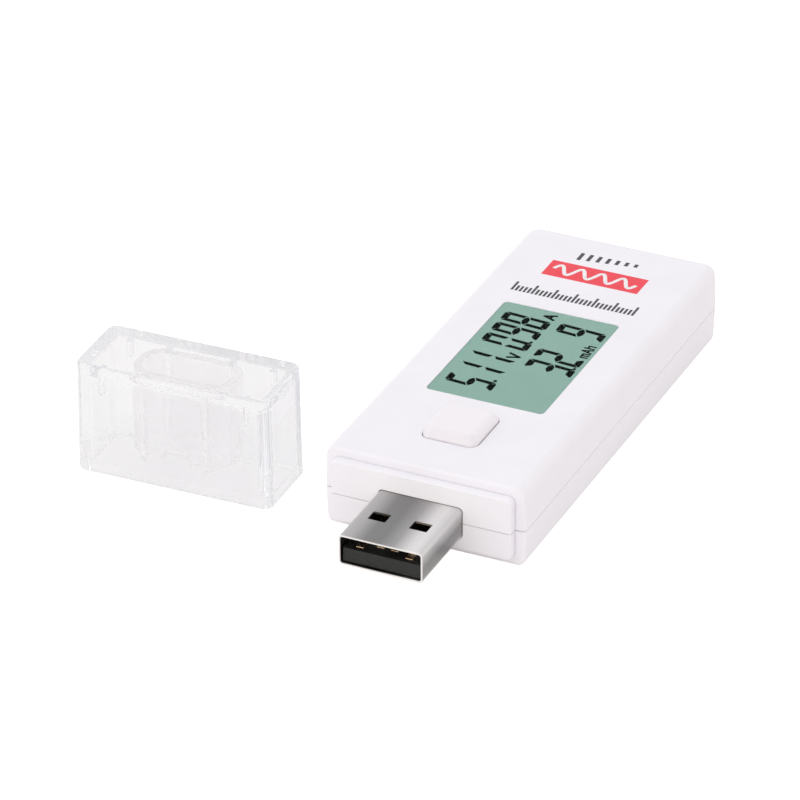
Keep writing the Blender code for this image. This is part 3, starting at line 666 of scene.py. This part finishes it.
def nose_form(name):
    depth = NOSE_REACH + WALL / 2
    levels = [(-depth, 0.0)] + [(z, inset) for z, inset in fillet_up(0.0, NOSE_EDGE, 5)]
    height = CASE_TOP - 2 * NOSE_STEP
    return stack(name, CASE_WIDTH - 2 * NOSE_STEP, height, NOSE_CORNER, levels,
                 centre=(0, TOP.low.y, CASE_TOP / 2), turn=TOWARDS_PLUG)


def rim_depths(*radii):
    """Depths below a flat at which its rounded rims need a ring, deepest first."""
    return sorted({radius - radius * math.sin(QUARTER * step / RIM_STEPS) for radius in radii
                   for step in range(RIM_STEPS + 1)}, reverse=True)


def rim_inset(radius, depth):
    """How far a rounded rim has drawn in, at a depth below the flat that it ends in."""
    return radius - math.sqrt(radius ** 2 - max(radius - depth, 0.0) ** 2)


def shell_form(name, flat, edge, seam):
    """A half of the case, from its flat to the seam.

    The long walls and the back wall round over into the flat by the edge's radius, and the front
    wall by less. The long walls also lean out towards the seam.
    """
    reach = abs(seam - flat)
    slope = SEAM_BULGE / abs(SEAM_HEIGHT - flat)
    levels = [(reach - depth, inset) for depth, inset in fillet_down(0.0, SEAM_EDGE, 3)]
    levels += [(depth, 0.0) for depth in rim_depths(edge, FRONT_EDGE)]
    rings = []
    for depth, seam_inset in levels:
        side, front = rim_inset(edge, depth), rim_inset(FRONT_EDGE, depth)
        width = CASE_WIDTH + 2 * (slope * depth - side - seam_inset)
        length = CASE_LENGTH - side - front - 2 * seam_inset
        back_corner = max(BACK_CORNER - side, FRONT_CORNER)
        z = flat + math.copysign(depth, seam - flat)
        ring = outline(width, length, FRONT_CORNER, back_corner, 10)
        rings.append([(x, y + (front - side) / 2, z) for x, y in ring])
    return loft(name, rings)


def cavity_form(name, low, high):
    return stack(name, CASE_WIDTH - 2 * WALL, CASE_LENGTH - 2 * WALL, 0.8 * MM,
                 [(low, 0.0), (high, 0.0)])


def half_nose(name, low, high):
    """The part of the nose between two heights."""
    nose = nose_form(name)
    keep = stack("keep", 40 * MM, 100 * MM, 1 * MM, [(low, 0.0), (high, 0.0)])
    return carve(nose, "INTERSECT", keep)


def plug_opening():
    clearance = 0.05 * MM
    return stack("plug_opening", PLUG_WIDTH + 2 * clearance, PLUG_HEIGHT + 2 * clearance, 0.6 * MM,
                 [(-6 * MM, 0.0)] + flare(0.0, 0.06 * MM, 3),
                 centre=(0, TOP.low.y, PLUG.centre.z), turn=TOWARDS_PLUG)


def socket_opening():
    clearance = 0.12 * MM
    return stack("socket_opening", SOCKET_WIDTH + 2 * clearance, SOCKET.size.z + 2 * clearance,
                 0.45 * MM, [(-6 * MM, 0.0)] + flare(0.0, 0.2 * MM, 4),
                 centre=(0, BACK_Y, SOCKET.centre.z), turn=TOWARDS_SOCKET)


def upper_case():
    seam = SEAM_HEIGHT + SEAM_GAP / 2
    shell = shell_form("upper_case", CASE_TOP, TOP_EDGE, seam)
    join(shell, half_nose("upper_nose", seam, CASE_TOP + MM))
    cavity = cavity_form("cavity", -MM, CASE_TOP - WALL)
    window = stack("window", LENS.size.x + 0.04 * MM, LENS.size.y + 0.04 * MM, WINDOW_CORNER,
                   [(CASE_TOP - 3 * MM, 0.0)] + flare(CASE_TOP, 0.05 * MM, 4),
                   centre=(0, LENS.centre.y, 0))
    clearance = 0.12 * MM
    button = stack("button_hole", BUTTON_WIDTH + 2 * clearance, BUTTON_LENGTH + 2 * clearance,
                   BUTTON_CORNER + clearance,
                   [(CASE_TOP - 3 * MM, 0.0)] + flare(CASE_TOP, 0.18 * MM, 4),
                   centre=(0, BUTTON.centre.y, 0))
    cut(shell, cavity, window, button, plug_opening(), socket_opening())
    return finished(shell, "white_plastic", "meter_body", "top_case")


def lower_case():
    seam = SEAM_HEIGHT - SEAM_GAP / 2
    shell = shell_form("lower_case", 0.0, BOTTOM_EDGE, seam)
    join(shell, half_nose("lower_nose", -MM, seam))
    lip_inset = WALL - 0.45 * MM
    lip = stack("lip", CASE_WIDTH - 2 * lip_inset, CASE_LENGTH - 2 * lip_inset, 0.8 * MM,
                [(SEAM_HEIGHT - MM, 0.0), (SEAM_HEIGHT + 1.1 * MM, 0.0)])
    join(shell, lip)
    cut(shell, cavity_form("cavity", WALL, CASE_TOP), plug_opening(), socket_opening())
    return finished(shell, "white_plastic", "meter_body", "bottom_case")


# ---------------------------------------------------------------- the display

DISPLAY_FACE = CASE_TOP - 0.13 * MM
INK_RELIEF = 0.02 * MM


def from_nose(distance):
    return FRONT_Y + distance


def display_window():
    top = CASE_TOP - 0.02 * MM
    lens = stack("display_window", LENS.size.x, LENS.size.y, WINDOW_CORNER,
                 fillet_down(top - 0.07 * MM, 0.02 * MM, 2) + fillet_up(top, 0.03 * MM, 3),
                 centre=(0, LENS.centre.y, 0))
    return finished(lens, "window_plastic", "meter_body", "window_lens")


def display_cell():
    rear_top = CASE_TOP - WALL - 0.4 * MM
    cell = stack("display_cell", LENS.size.x, LENS.size.y, WINDOW_CORNER,
                 [(rear_top - 0.1 * MM, 0.0)] + fillet_up(DISPLAY_FACE, 0.04 * MM, 2),
                 centre=(0, LENS.centre.y, 0))
    ledge = Box("lcd_panel")
    rear = block("rear_glass", (ledge.low.x, ledge.low.y, ledge.low.z),
                 (ledge.high.x, ledge.high.y, rear_top), 0.05 * MM)
    join(cell, rear)
    return finished(cell, "display_glass", "meter_body", "lcd_panel")


SEGMENT_WIDTH = 0.66 * MM
BAR_WIDTH = 0.96 * MM
DIGIT_WIDTH = 2.40 * MM
DIGIT_HEIGHT = 6.98 * MM
DIGIT_SLANT = 0.078
SEGMENT_BREAK = 0.09 * MM
SIDE_MITRE = 0.75 * MM
BAR_CHAMFER = 0.42 * MM
STROKE_OVERRUN = 0.6
DISC_SIDES = 14
SEGMENTS_OF = {
    "0": "abcdef", "1": "bc", "2": "abged", "3": "abgcd", "4": "fgbc", "5": "afgcd",
    "6": "afgedc", "7": "abc", "8": "abcdefg", "9": "abcdfg",
}


def segment_shapes():
    """Each segment's outline in a digit's own frame: u across, v up from its foot.

    The outer bars have their outer corners cut, and the inner edges stop at the mitres.
    """
    wide, tall, middle = DIGIT_WIDTH, DIGIT_HEIGHT, DIGIT_HEIGHT / 2
    side, bar, gap = SEGMENT_WIDTH, BAR_WIDTH, SEGMENT_BREAK
    chamfer, shoulder = BAR_CHAMFER, BAR_CHAMFER / 2
    foot = [(chamfer, 0.0), (wide - chamfer, 0.0), (wide - shoulder, shoulder),
            (wide - side - gap, bar), (side + gap, bar), (shoulder, shoulder)]
    lower = [(0.0, shoulder), (side, SIDE_MITRE + gap),
             (side, middle - bar / 2 - gap), (0.0, middle - 2 * gap)]
    centre = [(gap, middle), (side + gap, middle - bar / 2),
              (wide - side - gap, middle - bar / 2), (wide - gap, middle),
              (wide - side - gap, middle + bar / 2), (side + gap, middle + bar / 2)]

    def upside(ring):
        return [(u, tall - v) for u, v in ring]

    def across(ring):
        return [(wide - u, v) for u, v in ring]

    return {"a": upside(foot), "d": foot, "g": centre, "e": lower, "c": across(lower),
            "f": upside(lower), "b": across(upside(lower))}


def digit_polygons(digit, foot_u, foot_v):
    shapes = segment_shapes()
    return [[(foot_u + u + DIGIT_SLANT * v, foot_v + v) for u, v in shapes[name]]
            for name in SEGMENTS_OF[digit]]


def stroke_polygons(points, width):
    """Flat strokes along a run of points, as one four-sided polygon a piece."""
    polygons = []
    for start, stop in zip(points, points[1:]):
        start, stop = Vector(start), Vector(stop)
        along = (stop - start).normalized() * width / 2
        side = Vector((-along.y, along.x))
        start, stop = start - along * STROKE_OVERRUN, stop + along * STROKE_OVERRUN
        polygons.append([start - side, stop - side, stop + side, start + side])
    return [[(p.x, p.y) for p in ring] for ring in polygons]


def disc_polygon(u, v, radius):
    step = 2 * math.pi / DISC_SIDES
    return [(u + radius * math.cos(k * step), v + radius * math.sin(k * step))
            for k in range(DISC_SIDES)]


def flat_marks(name, polygons, level, relief, to_case):
    """Thin raised marks: each polygon is a prism of its own."""
    bm = bmesh.new()
    for ring in polygons:
        low = [bm.verts.new((*to_case(u, v), level)) for u, v in ring]
        high = [bm.verts.new((*to_case(u, v), level + relief)) for u, v in ring]
        bm.faces.new(list(reversed(low)))
        bm.faces.new(high)
        for k in range(len(low)):
            after = (k + 1) % len(low)
            bm.faces.new((low[k], low[after], high[after], high[k]))
    return mesh_object(name, bm)


def reading(u, v):
    """Display and scale frame to case x, y: u runs from the nose, v from the centre line to -X."""
    return -v, from_nose(u)


def unit_letters():
    """The unit letters beside the digits: V, A and mAh, as plain strokes."""
    thin = 0.40 * MM
    strokes = []

    def letter(points, u, v, width, height, weight=thin):
        strokes.extend(stroke_polygons([(u + x * width, v + y * height) for x, y in points], weight))

    letter([(0.0, 1.0), (0.5, 0.0), (1.0, 1.0)], 31.25 * MM, 0.5 * MM, 1.2 * MM, 1.6 * MM)
    letter([(0.0, 0.0), (0.5, 1.0), (1.0, 0.0)], 43.1 * MM, 0.4 * MM, 1.25 * MM, 1.6 * MM)
    letter([(0.2, 0.38), (0.8, 0.38)], 43.1 * MM, 0.4 * MM, 1.25 * MM, 1.6 * MM)
    foot, tall, low = -7.9 * MM, 1.45 * MM, 0.95 * MM
    small = 0.28 * MM
    letter([(0.0, 0.0), (0.0, 1.0), (1.0, 1.0), (1.0, 0.0)], 35.3 * MM, foot, 1.0 * MM, low, small)
    letter([(0.0, 0.0), (0.0, 1.0)], 35.8 * MM, foot, 1.0 * MM, low, small)
    letter([(0.0, 0.0), (0.5, 1.0), (1.0, 0.0)], 36.65 * MM, foot, 0.9 * MM, tall, small)
    letter([(0.2, 0.38), (0.8, 0.38)], 36.65 * MM, foot, 0.9 * MM, tall, small)
    letter([(0.0, 0.0), (0.0, 1.0)], 37.9 * MM, foot, 0.7 * MM, tall, small)
    letter([(0.0, 1.0), (1.0, 1.0), (1.0, 0.0)], 37.9 * MM, foot, 0.65 * MM, low, small)
    return strokes


def display_segments():
    """Two rows of digits, read along the case with their tops towards -X."""
    pitch = 3.2 * MM
    first = 21.75 * MM
    upper_foot, lower_foot = 0.33 * MM, -7.9 * MM
    polygons = []
    for digit, place in (("5", 0), ("1", 1), ("1", 2), ("0", 3.7), ("9", 4.7), ("8", 5.68)):
        polygons += digit_polygons(digit, first + place * pitch, upper_foot)
    for digit, foot in (("3", 29.35 * MM), ("2", 32.35 * MM), ("9", 39.9 * MM)):
        polygons += digit_polygons(digit, foot, lower_foot)
    polygons.append(disc_polygon(24.65 * MM, upper_foot + 0.55 * MM, 0.27 * MM))
    polygons.append(disc_polygon(36.25 * MM, upper_foot + 0.4 * MM, 0.24 * MM))
    polygons.append(disc_polygon(32.0 * MM, lower_foot + 0.4 * MM, 0.24 * MM))
    polygons += unit_letters()
    ink = flat_marks("display_segments", polygons, DISPLAY_FACE - INK_RELIEF / 4, INK_RELIEF, reading)
    paint(ink, MATERIALS["display_ink"])
    return stands_for(ink, "meter_body", "display_glass")


# ---------------------------------------------------------------- printing on the case

PRINT_FOOT = CASE_TOP - 0.006 * MM
PRINT_RELIEF = 0.014 * MM


def straight(x, y):
    return x, from_nose(y)


def bar_polygon(x, y, width, length):
    return [(x - width / 2, y - length / 2), (x + width / 2, y - length / 2),
            (x + width / 2, y + length / 2), (x - width / 2, y + length / 2)]


def scale_marks():
    """A plain graduated line of ticks across the case, and a short row of level bars."""
    polygons = []
    near, left, span = 48.5 * MM, -9.1 * MM, 18.0 * MM
    ticks, tick_width = 31, 0.36 * MM
    for tick in range(ticks):
        x = left + span * tick / (ticks - 1)
        length = (2.5 if tick % 5 == 0 else 1.5) * MM
        polygons.append(bar_polygon(x, near + length / 2, tick_width, length))
    far, right, pitch, bar_width = 62.2 * MM, 4.0 * MM, 1.35 * MM, 0.55 * MM
    for bar in range(7):
        length = (0.9 + 0.2 * bar) * MM
        polygons.append(bar_polygon(right - pitch * bar, far - length / 2, bar_width, length))
    marks = flat_marks("scale_print", polygons, PRINT_FOOT, PRINT_RELIEF, straight)
    paint(marks, MATERIALS["grey_print"])
    return stands_for(marks, "meter_body", "white_plastic")


WAVE_REACH = 12.4 * MM
WAVE_SWING = 1.15 * MM
WAVE_WIDTH = 0.55 * MM
WAVE_CYCLES = 4
WAVE_STEPS = 96


def wave_ribbon(middle):
    """One closed outline along both sides of a sine wave."""
    near, far = [], []
    turns = 2 * math.pi * WAVE_CYCLES
    for k in range(WAVE_STEPS + 1):
        phase = turns * k / WAVE_STEPS
        along = (k / WAVE_STEPS - 0.5) * WAVE_REACH
        point = Vector((along, middle + WAVE_SWING * math.sin(phase)))
        slope = Vector((1.0, WAVE_SWING * math.cos(phase) * turns / WAVE_REACH)).normalized()
        side = Vector((-slope.y, slope.x)) * WAVE_WIDTH / 2
        near.append(tuple(point - side))
        far.append(tuple(point + side))
    return near + list(reversed(far))


def badge():
    """A red panel with a plain white wave across it."""
    middle, width, length = 56.55 * MM, 14.4 * MM, 4.35 * MM
    panel = flat_marks("badge_panel", [bar_polygon(0.0, middle, width, length)], PRINT_FOOT,
                       PRINT_RELIEF, straight)
    paint(panel, MATERIALS["red_print"])
    stands_for(panel, "meter_body", "white_plastic")
    wave = flat_marks("badge_wave", [wave_ribbon(middle)], PRINT_FOOT + PRINT_RELIEF / 2,
                      PRINT_RELIEF, straight)
    paint(wave, MATERIALS["white_print"])
    return stands_for(wave, "meter_body", "white_plastic")


# ---------------------------------------------------------------- the button

def button_key():
    """The key: a straight skirt in its hole, a drafted front and back, and softly rounded sides."""
    top = BUTTON.high.z
    shoulder = CASE_TOP + 0.05 * MM
    rise = top - shoulder
    rim = 0.16 * MM
    rings = [[(x, y, BUTTON.low.z + 0.2 * MM)
              for x, y in outline(BUTTON_WIDTH, BUTTON_LENGTH, BUTTON_CORNER, steps=10)]]
    for step in range(KEY_STEPS + 1):
        height = math.sin(QUARTER * step / KEY_STEPS)
        depth = rise * (1 - height)
        side = KEY_SIDE_ROUND * (1 - math.sqrt(1 - height ** 2))
        end = BUTTON_DRAFT * height * (1 - rim / rise) + rim_inset(rim, depth)
        ring = outline(BUTTON_WIDTH - 2 * side, BUTTON_LENGTH - 2 * end, BUTTON_CORNER - 0.6 * side,
                       steps=10)
        rings.append([(x, y, shoulder + rise * height) for x, y in ring])
    key = loft("button_key", rings, (0, BUTTON.centre.y, 0))
    flange = block("flange", (BUTTON.low.x, BUTTON.low.y, BUTTON.low.z + 0.2 * MM),
                   (BUTTON.high.x, BUTTON.high.y, BUTTON.low.z + 1.0 * MM), 0.1 * MM)
    stem = rod("stem", 1.5 * MM, 0.6 * MM, (0, BUTTON.centre.y, BUTTON.low.z + 0.3 * MM), 0.08 * MM)
    join(key, flange, stem)
    return finished(key, "key_plastic", "button_body", "mode_button", sharp=40)


# ---------------------------------------------------------------- connectors

def formed_tube(name, width, height, length, corner, level, mouth_y, turn, lip):
    """A folded sheet tube that starts at its mouth and runs into the case."""
    outer = stack(name, width, height, corner,
                  [(-length, 0.0)] + fillet_up(0.0, lip, 3), centre=(0, mouth_y, level), turn=turn)
    bore = stack("bore", width - 2 * SHEET, height - 2 * SHEET, corner - SHEET,
                 [(-length - MM, 0.0)] + flare(0.0, lip, 3), centre=(0, mouth_y, level), turn=turn)
    return cut(outer, bore)


def plug():
    tip = PLUG.low.y
    level = PLUG.low.z + PLUG_HEIGHT / 2
    shell = formed_tube("plug_shell_formed", PLUG_WIDTH, PLUG_HEIGHT, PLUG.size.y - 2.5 * MM, 0.6 * MM,
                        level, tip, TOWARDS_PLUG, 0.09 * MM)
    for side in (-1, 1):
        window = stack("latch_window", LATCH_WIDTH, LATCH_LENGTH, 0.1 * MM,
                       [(-PLUG_HEIGHT, 0.0), (PLUG_HEIGHT, 0.0)],
                       centre=(side * LATCH_FROM_CENTRE, tip + LATCH_FROM_TIP, level), steps=3)
        cut(shell, window)
    seam = block("fold_seam", (-0.04 * MM, tip - MM, level - PLUG_HEIGHT / 2 - MM),
                 (0.04 * MM, tip + 30 * MM, level - PLUG_HEIGHT / 2 + SHEET / 2))
    cut(shell, seam)
    finished(shell, "plated_steel", "meter_body", "plug_shell", look="plug_steel")

    top = TONGUE.low.z + 2.05 * MM
    tongue = block("plug_tongue_moulding", TONGUE.low, (TONGUE.high.x, TONGUE.high.y, top), 0.12 * MM, 3)
    rear = block("rear", (TONGUE.low.x + 0.1 * MM, FRONT_Y - 0.5 * MM, TONGUE.low.z + 0.2 * MM),
                 (TONGUE.high.x - 0.1 * MM, TONGUE.high.y - 0.1 * MM, TONGUE.high.z), 0.1 * MM)
    join(tongue, rear)
    finished(tongue, "dark_insulator", "meter_body", "plug_tongue")


def contacts(prefix, label):
    """Four stamped strips with rounded edges, in the places of the CAD ones."""
    for number in range(1, 5):
        node = f"{prefix}_contact_{number}"
        box = Box(node)
        strip = block(f"{label}_{number}", box.low, box.high, 0.08 * MM, 3)
        finished(strip, "gold_contact", "meter_body", node)


def socket():
    level = SOCKET.centre.z
    shell = formed_tube("socket_shell_formed", SOCKET_WIDTH, SOCKET.size.z, SOCKET.size.y, 0.5 * MM,
                        level, SOCKET.high.y, TOWARDS_SOCKET, 0.1 * MM)
    finished(shell, "plated_steel", "meter_body", "socket_shell")
    box = SOCKET_TONGUE
    block_end = box.low.y + 3.8 * MM
    tongue_foot = level + 0.05 * MM
    tongue = block("socket_tongue_moulding", (-5.55 * MM, box.low.y, tongue_foot),
                   (5.55 * MM, box.high.y, tongue_foot + 1.8 * MM), 0.15 * MM, 3)
    rear = block("rear", box.low, (box.high.x, block_end, box.high.z), 0.1 * MM)
    join(tongue, rear)
    finished(tongue, "pale_insulator", "meter_body", "socket_tongue")


# ---------------------------------------------------------------- the cap

def cap_rings():
    """The cap's outer form: walls that flare a little from the roof to the mouth's rounded lip."""
    rings = []
    for z, inset in fillet_down(0.0, 0.15 * MM, 3) + fillet_up(CAP_HEIGHT, 0.5 * MM, 6):
        spread = 2 * (CAP_FLARE * (1 - z / CAP_HEIGHT) - inset)
        corner = CAP_CORNER - inset
        ring = outline(CAP_WIDTH + spread, CAP_DEPTH + spread, corner)
        rings.append([(x, y, z) for x, y in ring])
    return rings


def cap():
    """A clear moulded box, mouth down, with a sleeve for the plug held by four webs."""
    mouth_width = CASE_WIDTH - 2 * NOSE_STEP + 2 * CAP_CLEARANCE
    mouth_depth = CASE_TOP - 2 * NOSE_STEP + 2 * CAP_CLEARANCE
    inner_width, inner_depth = CAP_WIDTH - 2 * CAP_SIDE_WALL, mouth_depth - CAP_CLEARANCE
    ceiling = CAP_HEIGHT - CAP_ROOF
    place = Matrix.Translation((CAP.centre.x, CAP.centre.y, 0)) @ Matrix.Rotation(CAP_TURN, 4, "Z")

    def form(name, width, depth, corner, levels, x=0.0, y=0.0, steps=8):
        return stack(name, width, depth, corner, levels, steps=steps,
                     turn=place @ Matrix.Translation((x, y, 0)))

    body = loft("clear_cap", cap_rings(), turn=place)
    hollow = form("hollow", inner_width, inner_depth, 0.8 * MM,
                  [(-MM, 0.0)] + fillet_up(ceiling, 0.35 * MM, 4))
    recess = form("recess", mouth_width, mouth_depth, NOSE_CORNER - CAP_CLEARANCE,
                  [(-MM, 0.0)] + fillet_up(CAP_RECESS, 0.1 * MM, 2))
    cut(body, hollow, recess)
    start, buried = SLEEVE_START, ceiling + 0.4 * MM
    sleeve = form("sleeve", SLEEVE_WIDTH + 2 * SLEEVE_WALL, SLEEVE_DEPTH + 2 * SLEEVE_WALL, 3.0 * MM,
                  fillet_down(start, 0.2 * MM, 3) + [(buried, 0.0)], steps=12)
    join(body, sleeve)
    web_depth = (mouth_depth - SLEEVE_DEPTH) / 2
    for across in (-1, 1):
        for along in (-1, 1):
            web = form("web", 0.8 * MM, web_depth, 0.06 * MM,
                       fillet_down(start - 0.4 * MM, 0.06 * MM, 2) + [(buried, 0.0)],
                       across * WEB_FROM_CENTRE, along * (mouth_depth + SLEEVE_DEPTH) / 4, steps=3)
            rib = form("rib", 0.7 * MM, 1.6 * MM, 0.12 * MM,
                       fillet_down(RIB_START, 0.12 * MM, 2) + [(buried, 0.0)],
                       across * RIB_FROM_CENTRE, along * (mouth_depth / 2 - 0.4 * MM), steps=3)
            join(body, web, rib)
    bore = form("bore", SLEEVE_WIDTH, SLEEVE_DEPTH, 1.8 * MM,
                [(-MM, 0.0)] + fillet_up(ceiling, 0.3 * MM, 4), steps=12)
    notch = form("notch", 4.0 * MM, SLEEVE_DEPTH + 2 * SLEEVE_WALL + 0.4 * MM, 0.05 * MM,
                 [(-MM, 0.0), (start + 0.9 * MM, 0.0)], steps=2)
    cut(body, bore, notch)
    return finished(body, "clear_plastic", "cap_body", "cap", sharp=38)


# ---------------------------------------------------------------- CAD pieces that stay as they are

def finish_internals():
    for part in frame["record"]["subparts"]:
        node = frame["nodes"][part["node"]]
        if node.hide_render:
            continue
        paint(node, MATERIALS[part["material_slot"]])


# ---------------------------------------------------------------- stage, light and camera

FLOOR_BOUNCE = 0.03
FLOOR_THROUGH_CAP = 0.09
FLOOR_TO_CAMERA = 0.75


def floor():
    """Pale paper that shows as white, and throws a little extra light up."""
    bm = bmesh.new()
    bmesh.ops.create_grid(bm, x_segments=1, y_segments=1, size=3.0)
    ground = mesh_object("floor", bm)
    ground.location.z = -0.02 * MM
    n = Nodes("floor_paper")
    diffuse = n.add("ShaderNodeBsdfDiffuse")
    n.link(n.blend(n.spread(n.noise(40.0, 2.0), 0.0, 1.0), (0.87, 0.86, 0.85), (0.89, 0.88, 0.87)),
           diffuse.inputs["Color"])
    glow = n.add("ShaderNodeEmission")
    ray = n.add("ShaderNodeLightPath")
    through = n.spread(ray.outputs["Is Transmission Ray"], FLOOR_BOUNCE, FLOOR_THROUGH_CAP, 0.0, 1.0)
    seen = n.spread(ray.outputs["Is Camera Ray"], through, FLOOR_TO_CAMERA, 0.0, 1.0)
    n.link(seen, glow.inputs["Strength"])
    mix = n.add("ShaderNodeAddShader")
    n.link(diffuse.outputs[0], mix.inputs[0])
    n.link(glow.outputs[0], mix.inputs[1])
    ground.data.materials.append(n.done(mix.outputs[0]))


def studio_world():
    """White to the camera; a room of soft pale walls, brighter overhead, to everything else."""
    world = bpy.data.worlds.new("studio")
    bpy.context.scene.world = world
    world.use_nodes = True
    tree = world.node_tree
    tree.nodes.clear()
    output = tree.nodes.new("ShaderNodeOutputWorld")
    room = tree.nodes.new("ShaderNodeBackground")
    white = tree.nodes.new("ShaderNodeBackground")
    white.inputs["Color"].default_value = (1.0, 1.0, 1.0, 1.0)
    place = tree.nodes.new("ShaderNodeTexCoord")
    split = tree.nodes.new("ShaderNodeSeparateXYZ")
    ramp = tree.nodes.new("ShaderNodeValToRGB")
    tree.links.new(place.outputs["Generated"], split.inputs[0])
    tree.links.new(split.outputs["Z"], ramp.inputs["Fac"])
    stops = ((0.0, (1.04, 0.98, 0.95)), (0.35, (1.07, 1.01, 0.98)), (0.6, (0.82, 0.82, 0.83)),
             (1.0, (0.74, 0.75, 0.78)))
    fill_ramp(ramp.color_ramp, stops)
    tree.links.new(ramp.outputs["Color"], room.inputs["Color"])
    ray = tree.nodes.new("ShaderNodeLightPath")
    mix = tree.nodes.new("ShaderNodeMixShader")
    tree.links.new(ray.outputs["Is Camera Ray"], mix.inputs["Fac"])
    tree.links.new(room.outputs[0], mix.inputs[1])
    tree.links.new(white.outputs[0], mix.inputs[2])
    tree.links.new(mix.outputs[0], output.inputs["Surface"])


def softbox(name, place, target, width, height, power, colour=(1.0, 1.0, 1.0)):
    light = bpy.data.lights.new(name, "AREA")
    light.color = colour
    light.shape = "RECTANGLE"
    light.size = width
    light.size_y = height
    light.energy = power
    lamp = bpy.data.objects.new(name, light)
    lamp.location = place
    lamp.rotation_mode = "QUATERNION"
    lamp.rotation_quaternion = (Vector(target) - Vector(place)).to_track_quat("-Z", "Y")
    bpy.context.scene.collection.objects.link(lamp)


def lights():
    aim = (0.0, 0.0, 0.0)
    softbox("top_softbox", (-0.15, -0.05, 0.6), aim, 0.6, 0.6, 0.6)
    softbox("left_softbox", (-0.55, -0.35, 0.3), aim, 0.3, 0.4, 0.35)
    softbox("front_softbox", (0.1, -0.6, 0.12), aim, 0.5, 0.3, 0.27, (1.0, 0.95, 0.91))


CAMERA_AZIMUTH = math.radians(25.18)
CAMERA_ELEVATION = math.radians(30.15)
CAMERA_ROLL = math.radians(-0.44)
CAMERA_DISTANCE = 690.85 * MM
CAMERA_AIM = Vector((-6.82, -26.38, 16.33)) * MM
CAMERA_LENS = 236.81


def camera():
    a, e = CAMERA_AZIMUTH, CAMERA_ELEVATION
    back = Vector((math.sin(a) * math.cos(e), -math.cos(a) * math.cos(e), math.sin(e)))
    right = Vector((math.cos(a), math.sin(a), 0.0))
    turn = Matrix.Rotation(CAMERA_ROLL, 3, back)
    right = turn @ right
    up = back.cross(right)
    data = bpy.data.cameras.new("camera")
    data.sensor_width = 36.0
    data.lens = CAMERA_LENS
    data.clip_start = 0.05
    data.clip_end = 20.0
    view = bpy.data.objects.new("camera", data)
    bpy.context.scene.collection.objects.link(view)
    axes = Matrix((right, up, back)).transposed().to_4x4()
    view.matrix_world = Matrix.Translation(CAMERA_AIM + back * CAMERA_DISTANCE) @ axes
    bpy.context.scene.camera = view


def main():
    upper_case()
    lower_case()
    display_window()
    display_cell()
    display_segments()
    scale_marks()
    badge()
    button_key()
    plug()
    contacts("plug", "plug_strip")
    socket()
    contacts("socket", "socket_strip")
    cap()
    finish_internals()
    floor()
    studio_world()
    lights()
    camera()
    scene = bpy.context.scene
    scene.view_settings.view_transform = "Standard"
    scene.cycles.max_bounces = 32
    scene.cycles.glossy_bounces = 24
    scene.cycles.transmission_bounces = 24
    scene.cycles.transparent_max_bounces = 24


main()
